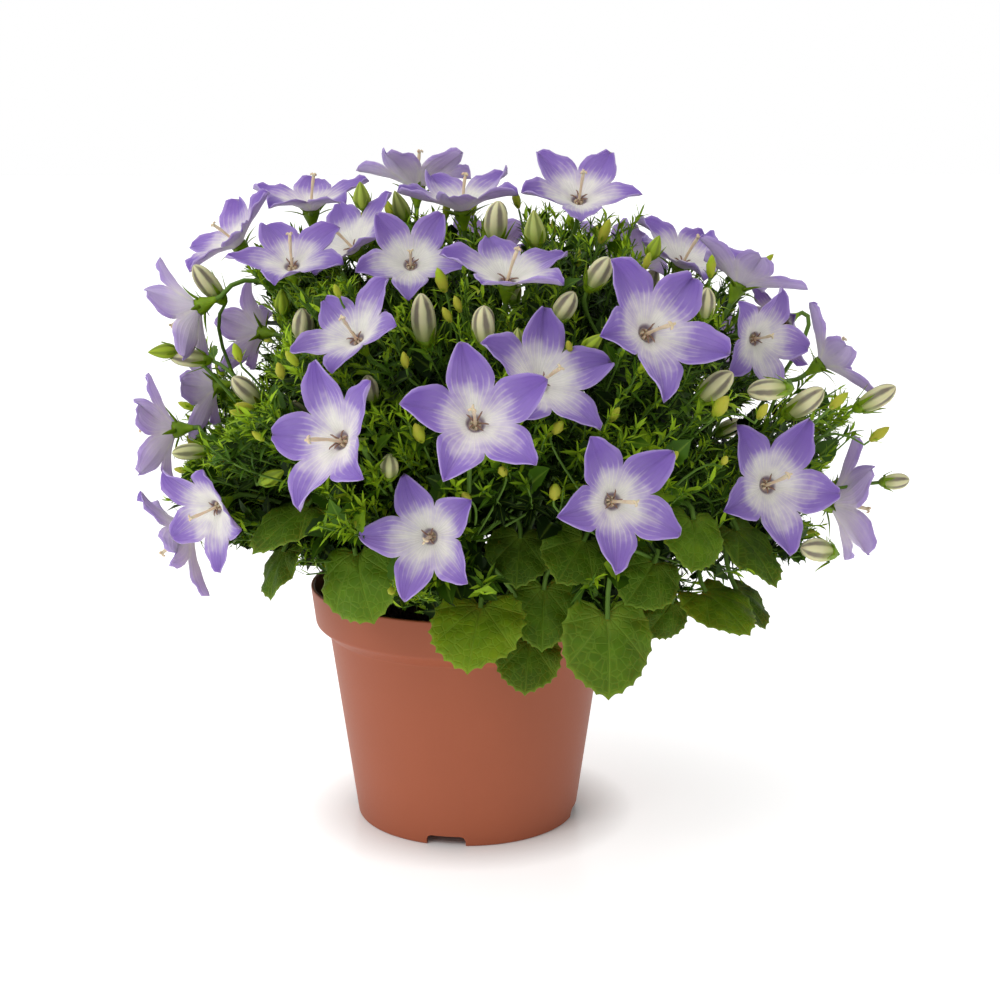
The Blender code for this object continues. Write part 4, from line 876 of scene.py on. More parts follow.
class Keepout:
    """The spaces that leaves and stalks stay out of: blooms, buds, large leaves and the pot."""

    def __init__(self):
        self.blooms = []
        for x, y, z, bearing, rise, turn, size in BLOOMS:
            facing = facing_frame(bearing, rise, turn)[2]
            self.blooms.append((np.array((x, y, z)) * MM, np.array(facing), size * MM))
        self.buds = [(np.array(row[:3]) * MM, row[4] * MM * 0.5) for row in BUDS]
        self.leaves = []
        for attach, direction, side, up, length, width, tone in large_leaf_places():
            middle = attach + direction * (length * LEAF_MIDDLE)
            self.leaves.append((np.array(middle), np.array(up), length * 0.60))
        self.limes = [(np.array(lime_bud_place(x, z)), length * MM * 0.4) for x, z, length in LIME_BUDS]
        self.profile = np.array(COROLLA_PROFILE)

    def blocked(self, points, margin=1.2):
        """Which of the points lie in a space that is kept clear."""
        found = np.zeros(len(points), dtype=bool)
        for throat, facing, scale in self.blooms:
            away = (points - throat) / scale
            height = away @ facing
            # A bloom that faces the viewer is kept clear further out than one that faces aside
            ahead = BLOOM_CLEAR_AHEAD[0] if facing[1] < -0.3 else BLOOM_CLEAR_AHEAD[1]
            widest = BLOOM_CLEAR_REACH - 0.35 * np.maximum(height, 0)
            reach = np.linalg.norm(away - height[:, None] * facing, axis=1)
            inner = np.interp(reach, self.profile[:, 0], self.profile[:, 1])
            found |= (reach < widest) & (height > inner - margin) & (height < ahead)
            found |= (reach < TUBE_CLEAR_REACH) & (height > -TUBE_CLEAR_DEPTH) & (height < 0)
        for middle, radius in self.buds:
            found |= np.linalg.norm(points - middle, axis=1) < radius * 0.85
        for middle, up, radius in self.leaves:
            away = points - middle
            height = away @ up
            reach = np.linalg.norm(away - height[:, None] * up, axis=1)
            found |= (reach < radius) & (height > -LEAF_CLEAR_BELOW) & (height < LEAF_CLEAR_ABOVE)
        round_axis = np.linalg.norm(points[:, :2], axis=1)
        found |= (points[:, 2] < POT_HEIGHT + POT_CLEAR_ABOVE) & (round_axis < POT_RIM_RADIUS + POT_CLEAR_ROUND)
        from_dome = np.linalg.norm(points[:, :2] - np.array(DOME_CENTRE.xy), axis=1) / MM
        lowest = np.interp(from_dome, *zip(*LOWEST_LEAVES))
        found |= points[:, 2] / MM < lowest
        return found

    def hides(self, points):
        """Which of the points stand between the camera and a bloom, bud or leaf that the photograph shows."""
        found = np.zeros(len(points), dtype=bool)
        eye = np.array(CAMERA_PLACE)
        rays = points - eye
        flat = [(throat + facing * 4 * scale, facing, 20.5 * scale)
                for throat, facing, scale in self.blooms[:len(FRONT_BLOOMS)]]
        flat += [(middle, up, radius * 0.8) for middle, up, radius in self.leaves[:FRONT_LEAVES]]
        for middle, facing, radius in flat:
            beyond = ((middle - eye) @ facing) / (rays @ facing + 1e-9)
            away = np.linalg.norm(eye + rays * beyond[:, None] - middle, axis=1)
            found |= (beyond > 1.0) & (beyond < 1.4) & (away < radius)
        round_ones = [(throat + facing * 3 * scale, 10.5 * scale) for throat, facing, scale
                      in self.blooms[:len(FRONT_BLOOMS)]]
        round_ones += [(middle, radius * 0.7) for middle, radius in self.buds] + self.limes
        for middle, radius in round_ones:
            sight = middle - eye
            share = (rays @ sight) / (sight @ sight)
            away = np.linalg.norm(rays - share[:, None] * sight, axis=1)
            found |= (share < 0.995) & (away < radius)
        return found


def large_leaf_places():
    """Attach point, direction, side, upper side, length, width and tone of each large leaf."""
    places = []
    for joint, tip, width, tone in LARGE_LEAVES:
        attach = Vector(joint) * MM
        along = Vector(tip) * MM - attach
        direction = along.normalized()
        outward = (attach - DOME_CENTRE).xy.normalized()
        normal = Vector((outward.x * 0.8, outward.y * 0.8, 0.6))
        side = direction.cross(normal).normalized()
        places.append((attach, direction, side, side.cross(direction).normalized(), along.length, width, tone))
    return places


def lobe_point(station, share, shape):
    """A point of a lobe's inner surface in its own frame, in mm, at a station and a share of the half width."""
    notch = LOBE_STATIONS[FUSED_STATIONS - 1]
    low = LOBE_STATIONS[0]
    half = station * math.tan(math.pi / LOBES) if station <= notch else smooth_curve(LOBE_OUTLINE, station)
    spread = min(1.0, max(0.0, (station - THROAT_REACH) / (notch - THROAT_REACH)))
    angle = (1 - spread) * share * math.pi / LOBES + spread * math.atan2(share * half, station)
    reach = (1 - spread) * station * THROAT_SPREAD + spread * math.hypot(station, share * half)
    free = max(0.0, (station - notch) / (LOBE_STATIONS[-1] - notch))
    slim = min(1.0, half / SLIM_HALF_WIDTH)
    height = smooth_curve(COROLLA_PROFILE, reach)
    height += SEAM_RISE * min(1.0, (station - low) / (notch - low)) * share ** 2
    height += shape["fold"] * slim * min(1.0, 2.5 * free) * abs(share) ** 1.3
    height -= GROOVE_DEPTH * min(1.0, 3 * free) * math.exp(-(share / GROOVE_WIDTH) ** 2)
    height += shape["curl"] * free ** 2
    height += shape["twist"] * slim * share * free
    height += shape["wave"] * slim * math.sin(station * WAVE_RATE + shape["phase"]) * abs(share) ** 3 * free
    return reach * math.cos(angle), reach * math.sin(angle) + shape["swing"] * free ** 2, height


def add_corolla(shell, shapes, bloom_tone):
    """The five lobes as one thin closed shell: an inner and an outer skin and the rim between them."""
    inner_bottom = []
    outer_bottom = []
    for lobe, shape in enumerate(shapes):
        turn = 2 * math.pi * lobe / LOBES
        places = []
        for station in LOBE_STATIONS:
            row = []
            for column in range(LOBE_COLUMNS + 1):
                x, y, height = lobe_point(station, 2 * column / LOBE_COLUMNS - 1, shape)
                row.append(Vector((x * math.cos(turn) - y * math.sin(turn),
                                   x * math.sin(turn) + y * math.cos(turn), height)))
            places.append(row)
        inner = []
        outer = []
        for r, station in enumerate(LOBE_STATIONS[:-1]):
            inner_row = []
            outer_row = []
            along = station / LOBE_STATIONS[-1]
            tone = bloom_tone + shape["tone"] * min(1.0, max(0.0, (along - 0.35) * 3))
            for c in range(LOBE_COLUMNS + 1):
                at_seam = c in (0, LOBE_COLUMNS) and r < FUSED_STATIONS
                after = min(r + 1, FUSED_STATIONS - 1) if at_seam else r + 1
                outward = places[after][c] - places[max(r - 1, 0)][c]
                across = places[r][min(c + 1, LOBE_COLUMNS)] - places[r][max(c - 1, 0)]
                if at_seam:
                    seam = turn + (1 if c else -1) * math.pi / LOBES
                    across = Vector((-math.sin(seam), math.cos(seam), 0))
                normal = outward.cross(across).normalized()
                aside = abs(2 * c / LOBE_COLUMNS - 1)
                place = places[r][c]
                inner_row.append(shell.point(place, along=along, aside=aside, tone=tone))
                behind = place - normal * PETAL_THICKNESS
                outer_row.append(shell.point(behind, along=along, aside=aside, tone=tone, back=1.0))
            inner.append(inner_row)
            outer.append(outer_row)
        shell.rows(0, inner, flip=True)
        shell.rows(0, outer)
        for c in (0, LOBE_COLUMNS):
            for r in range(FUSED_STATIONS - 1, len(inner) - 1):
                corners = (inner[r][c], inner[r + 1][c], outer[r + 1][c], outer[r][c])
                shell.face(0, *(corners if c else reversed(corners)))
        tip = shell.point(places[-1][LOBE_COLUMNS // 2], along=1.0, aside=0.5, tone=tone)
        shell.cap(0, inner[-1] + outer[-1][::-1], tip, flip=True)
        inner_bottom += inner[0][:-1]
        outer_bottom += outer[0][:-1]
    heart = shell.point((0, 0, -1.8), along=0.0, aside=0.0)
    shell.cap(0, inner_bottom, heart)
    foot = shell.point((0, 0, -2.2), along=0.0, aside=0.0, back=1.0)
    shell.cap(0, outer_bottom, foot, flip=True)


def add_tube(shell, slot, points, radii, sides, **values):
    """A closed round tube along a row of points."""
    rings = []
    tangent = (points[1] - points[0]).normalized()
    across = tangent.orthogonal().normalized()
    last = len(points) - 1
    for row, (point, radius) in enumerate(zip(points, radii)):
        ahead = (points[min(row + 1, last)] - points[max(row - 1, 0)]).normalized()
        across = (tangent.rotation_difference(ahead) @ across).normalized()
        tangent = ahead
        third = tangent.cross(across)
        ring = []
        for side in range(sides):
            angle = 2 * math.pi * side / sides
            out = across * math.cos(angle) + third * math.sin(angle)
            ring.append(shell.point(point + out * radius, along=row / last, **values))
        rings.append(ring)
    shell.body(slot, rings, shell.point(points[0], **values), shell.point(points[-1], along=1.0, **values))


def add_style(shell, length, lean, draw):
    """The column in the middle of a bloom, thicker towards its end, with three curled stigma arms."""
    top = Vector((lean.x, lean.y, length))
    middle = Vector((lean.x * 0.25, lean.y * 0.25, length * 0.45))
    points = bend_points(UP * STYLE_FOOT, middle, top, len(STYLE_RADII))
    add_tube(shell, 1, points, STYLE_RADII, 8)
    start = draw.uniform(0, 2 * math.pi)
    heading = (points[-1] - points[-2]).normalized()
    side = heading.orthogonal().normalized()
    other = heading.cross(side)
    for arm in range(3):
        angle = start + arm * 2 * math.pi / 3
        out = side * math.cos(angle) + other * math.sin(angle)
        bend = [top + out * aside + heading * along for along, aside in STIGMA_ARM]
        add_tube(shell, 1, bend, STIGMA_RADII, 6)


def add_anthers(shell, draw):
    """Five pale filament feet round the style, with brown curled anthers."""
    for k in range(LOBES):
        out = spoke(2 * math.pi * (k + 0.5) / LOBES + draw.uniform(-0.15, 0.15))
        side = Vector((-out.y, out.x, 0)) * draw.uniform(-1.6, 1.6)
        add_tube(shell, 1, [out * reach + UP * height for reach, height in FILAMENT], FILAMENT_RADII, 5)
        bend = draw.uniform(1.8, 3.2)
        points = [out * 0.9 - UP * 0.1, out * 1.4 + side * 0.3 + UP * 0.8, out * bend + side * 0.6 + UP * 1.3,
                  out * (bend + 0.6) + side * 1.0 + UP * 1.4]
        add_tube(shell, 2, points, ANTHER_RADII, 5)


def add_sepal(shell, slot, foot, out, up, length, width, curl):
    """A narrow pointed sepal, folded a little along its middle."""
    side = up.cross(out).normalized()
    skins = []
    for sign in (1, -1):
        rows = []
        for along, share in SEPAL_OUTLINE:
            bent = out * (length * along) + up * (curl * length * along ** 2)
            half = side * (width * 0.5 * share)
            lift = up * (sign * SEPAL_HALF_THICKNESS * (1 - along * 0.6))
            fold = up * (SEPAL_FOLD * width * share)
            rows.append([
                shell.point(foot + bent - half + fold + lift, along=along, aside=1.0),
                shell.point(foot + bent + lift, along=along, aside=0.0),
                shell.point(foot + bent + half + fold + lift, along=along, aside=1.0),
            ])
        shell.rows(slot, rows, flip=sign > 0)
        skins.append(rows)
    upper, lower = skins
    shell.cap(slot, upper[0] + lower[0][::-1], shell.point(foot))
    shell.cap(slot, upper[-1] + lower[-1][::-1], shell.point(foot + bent * 1.02, along=1.0), flip=True)
    for column, flip in ((0, True), (2, False)):
        edges = [[row[column] for row in rows] for rows in skins]
        for k in range(len(SEPAL_OUTLINE) - 1):
            corners = (edges[0][k], edges[0][k + 1], edges[1][k + 1], edges[1][k])
            shell.face(slot, *(reversed(corners) if flip else corners))


def add_calyx(shell, draw):
    """The green cup under a bloom, with five narrow sepals."""
    rings = []
    for height, radius in CALYX_CUP:
        ring = []
        for k in range(CALYX_SIDES):
            angle = 2 * math.pi * k / CALYX_SIDES
            rib = 1 + 0.05 * math.cos(CALYX_RIBS * angle)
            ring.append(shell.point(spoke(angle, radius * rib, height), along=0.2))
        rings.append(ring)
    shell.body(3, rings, shell.point(UP * -5.2), shell.point(UP * -8.4), flip=True)
    for k in range(LOBES):
        out = spoke(2 * math.pi * (k + 0.5) / LOBES + draw.uniform(-0.1, 0.1))
        slope = draw.uniform(0.25, 0.75)
        heading = (out + UP * slope).normalized()
        upper = (UP - out * slope).normalized()
        length = draw.uniform(6.5, 8.5)
        add_sepal(shell, 3, out * 3.1 - UP * 2.6, heading, upper, length, 1.8, draw.uniform(-0.35, 0.0))


def make_bloom(number, row, materials, settings):
    """One bloom: corolla, style, anthers and calyx."""
    x, y, z, bearing, rise, turn, size = row
    draw = random.Random(BLOOM_SEED + number)
    first, second, facing = facing_frame(bearing, rise, turn)
    curl = settings.curl / MM
    shapes = []
    for k in range(LOBES):
        shape = {"curl": draw.uniform(-curl, curl)}
        shape.update({name: draw.uniform(*ends) for name, ends in LOBE_RANGES.items()})
        # The upper lobes of a bloom are painted deeper in colour than the lower ones, a painted shade by which
        # way each lobe faces
        heading = 2 * math.pi * k / LOBES
        shape["tone"] += 0.5 * (first * math.cos(heading) + second * math.sin(heading)).z
        shapes.append(shape)
    # The blooms that face the viewer are the deepest in colour
    bloom_tone = draw.uniform(0.0, 0.5) + (0.4 if facing.y < -0.5 else 0.0)
    shell = Shell("along", "aside", "back", "tone")
    add_corolla(shell, shapes, bloom_tone)
    lean = Vector((draw.uniform(-2.4, 2.4), draw.uniform(-2.4, 2.4)))
    add_style(shell, settings.style_length / MM, lean, draw)
    add_anthers(shell, draw)
    add_calyx(shell, draw)
    throat = Vector((x, y, z)) * MM
    scale = size * MM
    shell.points = [tuple(throat + (first * x + second * y + facing * z) * scale) for x, y, z in shell.points]
    item = shell.to_object(f"bellflower_bloom_{number:02d}", materials)
    finish_piece(item, [f"bloom_{number:02d}"])


class BELLFLOWER_OT_make_blooms(bpy.types.Operator):
    """Make every bloom of the plant."""

    bl_idname = "bellflower.make_blooms"
    bl_label = "Make blooms"

    def execute(self, context):
        settings = context.scene.bellflower_bloom
        leaf = context.scene.bellflower_leaf
        materials = [
            petal_material(settings),
            plain_tissue("style_tissue", settings.style, colour("C8AE88"), 400.0, 0.5, 0.2),
            plain_tissue("spent_anther", settings.anther, colour("4A2F1E"), 900.0, 0.8),
            plain_tissue("calyx_tissue", leaf.light, leaf.middle, 250.0, 0.5, 0.1),
        ]
        for number, row in enumerate(BLOOMS, 1):
            make_bloom(number, row, materials, settings)
        return {"FINISHED"}


def add_bud(shell, foot, direction, length, radius, ripe, draw):
    """A closed bud with five rounded ribs, sitting in a small cup with five sepals; sizes are in mm."""
    start = len(shell.points)
    spiral = draw.uniform(-0.5, 0.5) * ripe
    rings = []
    for along, share in RIPE_BUD if ripe > RIPE_FROM else YOUNG_BUD:
        ring = []
        depth = BUD_FURROW * (1 - abs(2 * along - 1.1) ** 2 * 0.5)
        for k in range(BUD_SIDES):
            angle = 2 * math.pi * k / BUD_SIDES
            rib = 0.5 + 0.5 * math.cos(LOBES * angle)
            reach = radius * share * (1 - depth * (1 - rib))
            place = spoke(angle + spiral * along, reach, length * along)
            ring.append(shell.point(place, along=along, aside=rib, tone=ripe))
        rings.append(ring)
    shell.body(0, rings, shell.point((0, 0, 0), tone=ripe),
               shell.point(UP * (length * 1.01), along=1.0, aside=1.0, tone=ripe))
    rings = []
    for along, share in BUD_CUP:
        ring = []
        for k in range(BUD_CUP_SIDES):
            place = spoke(2 * math.pi * k / BUD_CUP_SIDES, radius * share, length * along)
            ring.append(shell.point(place, along=0.2))
        rings.append(ring)
    shell.body(1, rings, shell.point(UP * (-0.12 * length)), shell.point(UP * (0.10 * length)))
    for k in range(LOBES):
        out = spoke(2 * math.pi * (k + 0.5) / LOBES)
        slope = draw.uniform(1.5, 3.0)
        add_sepal(shell, 1, out * (radius * 0.72) + UP * (length * 0.06), (out + UP * slope).normalized(),
                  (out * slope - UP).normalized(), length * draw.uniform(0.42, 0.62), radius * 0.42,
                  draw.uniform(-0.15, 0.25))
    across = direction.orthogonal().normalized()
    third = direction.cross(across)
    for number in range(start, len(shell.points)):
        p = shell.points[number]
        shell.points[number] = tuple(foot + (across * p[0] + third * p[1] + direction * p[2]) * MM)


def bud_place(row):
    """Foot and direction of a bud."""
    x, y, z, lean, length, radius, ripe = row
    angle = math.radians(lean)
    towards = -BUD_TOWARDS_VIEWER if y < BUD_BACK_FROM else BUD_TOWARDS_VIEWER
    direction = Vector((math.cos(angle), towards, math.sin(angle))).normalized()
    return Vector((x, y, z)) * MM - direction * (length * MM / 2), direction


def clump_places():
    """Node name, root in the soil and middle of each leafy stem, as on the part."""
    places = []
    for tier in TIERS:
        for step in range(tier["count"]):
            b = math.radians(tier["turn"] + step * 360 / tier["count"])
            spread = tier["spread"]
            middle = DOME_CENTRE + Vector((spread[0] * math.cos(b), spread[1] * math.sin(b), tier["height"]))
            root = Vector((tier["root"] * math.cos(b), tier["root"] * math.sin(b), 0))
            places.append((f"leafy_stem_{len(places) + 1:02d}", root, middle))
    return places


CLUMPS = clump_places()


def nearest_clump(point):
    """The number of the leafy stem whose middle is nearest."""
    return min(range(len(CLUMPS)), key=lambda k: (CLUMPS[k][2] - point).length)


class BELLFLOWER_OT_make_buds(bpy.types.Operator):
    """Make the buds, one piece for each leafy stem that bears some."""

    bl_idname = "bellflower.make_buds"
    bl_label = "Make buds"

    def execute(self, context):
        leaf = context.scene.bellflower_leaf
        materials = [
            bud_material(context.scene.bellflower_bud),
            plain_tissue("sepal_tissue", leaf.light, leaf.middle, 250.0, 0.5, 0.1),
        ]
        shells = {}
        for number, row in enumerate(BUDS):
            foot, direction = bud_place(row)
            owner = nearest_clump(foot)
            shell = shells.setdefault(owner, Shell("along", "aside", "tone"))
            add_bud(shell, foot, direction, row[4], row[5], row[6], random.Random(BUD_SEED + number))
        for owner, shell in sorted(shells.items()):
            item = shell.to_object(f"bellflower_buds_{owner + 1:02d}", materials)
            finish_piece(item, [CLUMPS[owner][0]])
        return {"FINISHED"}


def add_large_leaf(shell, blade, place, draw):
    """A heart-shaped leaf with a toothed edge, domed and waved, as a thin closed shell."""
    attach, direction, side, up, length, width, tone = place
    count = LEAF_TEETH * LEAF_POINTS_PER_TOOTH
    sag = draw.uniform(0.05, 0.10)
    wave = draw.uniform(0.018, 0.036)
    tooth = draw.uniform(0.05, 0.08)
    phase = draw.uniform(0, 6)
    skins = []
    for sign in (1, -1):
        rows = []
        for ring in LEAF_RINGS:
            row = []
            for k in range(count):
                angle = 2 * math.pi * k / count
                turned = math.degrees(min(angle, 2 * math.pi - angle))
                cusp = 1 - abs(math.sin(angle * LEAF_TEETH / 2)) ** 0.9
                edge = smooth_curve(LEAF_OUTLINE, turned) * (1 + tooth * (cusp - 0.5) * ring ** 6)
                x = math.cos(angle) * edge * ring + LEAF_MIDDLE
                y = math.sin(angle) * edge * ring * width
                quilt = abs(math.sin(math.atan2(y, x) * MAIN_VEIN_RATE)) * min(math.hypot(x, y), 0.5) * 0.08
                height = quilt - sag * ring ** 2 + wave * ring ** 2 * math.cos(5 * angle + phase)
                spot = attach + (direction * x + side * y + up * height) * length
                spot += up * sign * LEAF_HALF_THICKNESS * (1 - 0.6 * ring)
                # The underside is painted darker, a painted shade on the side that faces down
                row.append(shell.point(spot, along=ring, tone=tone - (0.15 if sign < 0 else 0)))
                blade.append((x, y))
            rows.append(row)
        shell.rows(0, rows, closed=True, flip=sign < 0)
        skins.append(rows)
    shell.rows(0, [skins[0][-1], skins[1][-1]], closed=True)


class BELLFLOWER_OT_make_large_leaves(bpy.types.Operator):
    """Make the large leaves round the foot of the dome."""

    bl_idname = "bellflower.make_large_leaves"
    bl_label = "Make large leaves"

    def execute(self, context):
        surface = large_leaf_material(context.scene.bellflower_leaf)
        groups = {}
        for number, place in enumerate(large_leaf_places()):
            shell, blade = groups.setdefault(nearest_clump(place[0]), (Shell("along", "tone"), []))
            add_large_leaf(shell, blade, place, random.Random(LARGE_LEAF_SEED + number))
        for owner, (shell, blade) in sorted(groups.items()):
            item = shell.to_object(f"bellflower_large_leaves_{owner + 1:02d}", [surface], blade=blade)
            finish_piece(item, [CLUMPS[owner][0]])
        return {"FINISHED"}


def leaf_shape(name, widths, droop, fold):
    """A small leaf of unit length along +X with its upper side up."""
    points = []
    aside = []
    faces = []
    for along, half in widths:
        height = -droop * along ** 2
        edge = height + fold * half
        points += [(along, -half, edge), (along, 0, height), (along, half, edge)]
        aside += [1.0, 0.0, 1.0]
    for k in range(len(widths) - 1):
        a = 3 * k
        faces.append((a, a + 3, a + 4, a + 1))
        faces.append((a + 1, a + 4, a + 5, a + 2))
    mesh = bpy.data.meshes.new(name)
    mesh.from_pydata(points, [], faces)
    mesh.attributes.new("aside", "FLOAT", "POINT").data.foreach_set("value", aside)
    mesh.shade_smooth()
    return bpy.data.objects.new(name, mesh)


def leaf_shapes():
    """A collection of the leaf shapes and a tiny bud, which stands last."""
    shapes = bpy.data.collections.new("leaf_shapes")
    for name, widths, droop, fold in LEAF_SHAPES:
        shapes.objects.link(leaf_shape(name, widths, droop, fold))
    bud = Shell("aside")
    rings = []
    for along, radius in TINY_BUD_PROFILE:
        ring = []
        for k in range(TINY_BUD_SIDES):
            angle = 2 * math.pi * k / TINY_BUD_SIDES
            ring.append(bud.point((along, radius * math.cos(angle), radius * math.sin(angle)), aside=0.5))
        rings.append(ring)
    bud.body(0, rings, bud.point((0, 0, 0), aside=0.5), bud.point((1, 0, 0), aside=0.5))
    item = bud.to_object("g_tiny_bud")
    bpy.context.scene.collection.objects.unlink(item)
    shapes.objects.link(item)
    return shapes


FINE_SHAPES = (0, 0, 0, 1, 2)
SPRIG_SHAPES = (0, 1, 2, 3)
BROAD_SHAPES = (4, 4, 5)
TINY_BUD = 6


def foliage_tree():
    """Nodes that stand a leaf shape on each leaf point and draw a round stem along each line."""
    tree, add, given = new_tree("foliage", [
        ("Leaf shapes", "Collection"), ("Leaf size", "Float"), ("Leaf finish", "Material"),
        ("Stem finish", "Material"), ("Stem sides", "Int"),
    ])

    def kept(name, kind):
        return add("GeometryNodeInputNamedAttribute", {"Name": name}, data_type=kind)

    shapes = add("GeometryNodeCollectionInfo", {
        "Collection": given["Leaf shapes"], "Separate Children": True, "Reset Children": True,
    })
    turn = add("FunctionNodeAxesToRotation", {0: kept("up", "FLOAT_VECTOR"), 1: kept("aim", "FLOAT_VECTOR")},
               primary_axis="Z", secondary_axis="X")
    scale = add(MATH, {0: kept("length", "FLOAT"), 1: given["Leaf size"]}, operation="MULTIPLY")
    leaves = add("GeometryNodeInstanceOnPoints", {
        "Points": given["Geometry"], "Selection": kept("is_leaf", "BOOLEAN"), "Instance": shapes,
        "Pick Instance": True, "Instance Index": kept("shape", "INT"), "Rotation": turn, "Scale": scale,
    })
    leaves = add("GeometryNodeRealizeInstances", {"Geometry": leaves})
    leaves = add("GeometryNodeSetMaterial", {"Geometry": leaves, "Material": given["Leaf finish"]})
    lines = add("GeometryNodeMeshToCurve", {"Mesh": given["Geometry"]})
    ring = add("GeometryNodeCurvePrimitiveCircle", {"Resolution": given["Stem sides"], "Radius": 1.0})
    stems = add("GeometryNodeCurveToMesh", {
        "Curve": lines, "Profile Curve": ring, "Scale": kept("thickness", "FLOAT"), "Fill Caps": True,
    })
    stems = add("GeometryNodeSetMaterial", {"Geometry": stems, "Material": given["Stem finish"]})
    add("NodeGroupOutput", {0: add("GeometryNodeJoinGeometry", {0: [leaves, stems]})})
    return tree


def settled_mesh(item):
    """The mesh that an object's modifiers make of it."""
    graph = bpy.context.evaluated_depsgraph_get()
    graph.update()
    return bpy.data.meshes.new_from_object(item.evaluated_get(graph))


def settle(source, tree, name, **inputs):
    """Run a node tree on an object and turn the result into a plain mesh object."""
    change = source.modifiers.new("nodes", "NODES")
    change.node_group = tree
    by_name = {item.name: item.identifier for item in tree.interface.items_tree if item.in_out == "INPUT"}
    for key, value in inputs.items():
        change[by_name[key.replace("_", " ").capitalize()]] = value
    mesh = settled_mesh(source)
    if not mesh.polygons:
        raise RuntimeError(f"{name} came out empty")
    mesh.name = name
    mesh.shade_smooth()
    bpy.data.objects.remove(source, do_unlink=True)
    return link_object(name, mesh)


class Foliage:
    """Leaf points and stem lines of one leafy stem while they are being set out."""

    def __init__(self):
        self.places = []
        self.edges = []
        self.kept = {name: [] for name in ("is_leaf", "shape", "length", "shade", "thickness", "aim", "up")}

    def add(self, place, is_leaf=False, shape=0, length=0.0, shade=0.5, thickness=0.0, aim=(1, 0, 0),
            up=(0, 0, 1)):
        """Add one point."""
        self.places.append(tuple(place))
        for name, value in (("is_leaf", is_leaf), ("shape", shape), ("length", length), ("shade", shade),
                            ("thickness", thickness), ("aim", tuple(aim)), ("up", tuple(up))):
            self.kept[name].append(value)
        return len(self.places) - 1

    def line(self, points, thick, thin, shade):
        """Add a stem along points, thinning from its foot to its end."""
        before = None
        for step, point in enumerate(points):
            radius = thick + (thin - thick) * step / (len(points) - 1)
            number = self.add(point, thickness=radius, shade=shade)
            if before is not None:
                self.edges.append((before, number))
            before = number

    def to_object(self, name):
        """A mesh of points and lines that holds every value by name."""
        mesh = bpy.data.meshes.new(name)
        mesh.from_pydata(self.places, self.edges, [])
        kinds = {"is_leaf": "BOOLEAN", "shape": "INT", "aim": "FLOAT_VECTOR", "up": "FLOAT_VECTOR"}
        for key, kept in self.kept.items():
            kind = kinds.get(key, "FLOAT")
            layer = mesh.attributes.new(key, kind, "POINT")
            if kind == "FLOAT_VECTOR":
                layer.data.foreach_set("vector", np.array(kept, dtype=np.float32).ravel())
            else:
                layer.data.foreach_set("value", kept)
        return link_object(name, mesh)


def sphere_points(count):
    """Even directions over a sphere."""
    golden = math.pi * (3 - math.sqrt(5))
    points = []
    for k in range(count):
        height = 1 - 2 * (k + 0.5) / count
        reach = math.sqrt(1 - height * height)
        points.append(np.array((math.cos(golden * k) * reach, math.sin(golden * k) * reach, height)))
    return points


def envelope_reach(direction):
    """Distance from the dome's middle to its outside in a direction."""
    leftness = max(0.0, -float(direction[0]))
    square = ENVELOPE_SQUARE + (ENVELOPE_LEFT_SQUARE - ENVELOPE_SQUARE) * leftness if direction[2] > 0 else 2.0
    squeeze = 1 + 0.25 * min(0.0, direction[2])
    reach = ENVELOPE_REACH.copy()
    if direction[0] < 0:
        reach[0] = ENVELOPE_LEFT_REACH
    return squeeze / np.sum(np.abs(direction / reach) ** square) ** (1 / square)


def lime_bud_place(x, z):
    """Where the camera's sight line through a point of the plane y = 0 enters the dome or comes nearest to it."""
    eye = np.array(CAMERA_PLACE)
    places = eye + (np.array((x, 0.0, z)) * MM - eye) * np.linspace(0.78, 1.06, 80)[:, None]
    depths = []
    for place in places:
        away = place - ENVELOPE_MIDDLE
        depths.append(np.linalg.norm(away) / envelope_reach(away / np.linalg.norm(away)))
    inside = [k for k, depth in enumerate(depths) if depth < 1.0]
    return Vector(places[inside[0] if inside else int(np.argmin(depths))])


def set_out_lime_buds(groups, keepout, settings):
    """Stand the small lime buds of the front in their places, each with five narrow sepals and a stalk."""
    draw = random.Random(settings.seed + 1)
    for x, z, millimetres in LIME_BUDS:
        length = millimetres * MM
        place = lime_bud_place(x, z)
        out = (place - Vector(ENVELOPE_MIDDLE)).normalized()
        aim = (out + Vector((draw.uniform(-0.5, 0.5), -0.1, draw.uniform(0.1, 0.9)))).normalized()
        foot = place - aim * (length * 0.5)
        owner, points = find_stalk(keepout, foot, aim)
        foliage = groups[owner]
        foliage.add(foot, True, TINY_BUD, length, 1.1, 0.0, aim, aim.orthogonal().normalized())
        for k in range(LOBES):
            heading, up = leaf_frame(aim, k * 2 * math.pi / LOBES, math.radians(draw.uniform(25, 50)), draw)
            foliage.add(foot, True, 0, length * 0.6, 0.75, 0.0, heading, up)
        foliage.line(points, 0.4 * MM, 0.5 * MM, 0.7)


def sprig_path(direction, draw):
    """Points of a sprig: out from inside the dome, bending up towards its end."""
    reach = envelope_reach(direction)
    depth = draw.uniform(0.93, 1.02) if draw.random() < 0.7 else draw.uniform(0.72, 0.93)
    end = ENVELOPE_MIDDLE + direction * reach * depth
    rise = np.array((0, 0, 1.0))
    heading = direction + rise * draw.uniform(0.2, 0.8) + np.array([draw.uniform(-0.4, 0.4) for i in range(3)])
    heading /= np.linalg.norm(heading)
    start = ENVELOPE_MIDDLE + direction * reach * (depth - SPRIG_DEPTH) - rise * 5 * MM
    control = end - heading * 18 * MM
    return [Vector(point) for point in bend_points(start, control, end, SPRIG_POINTS)]


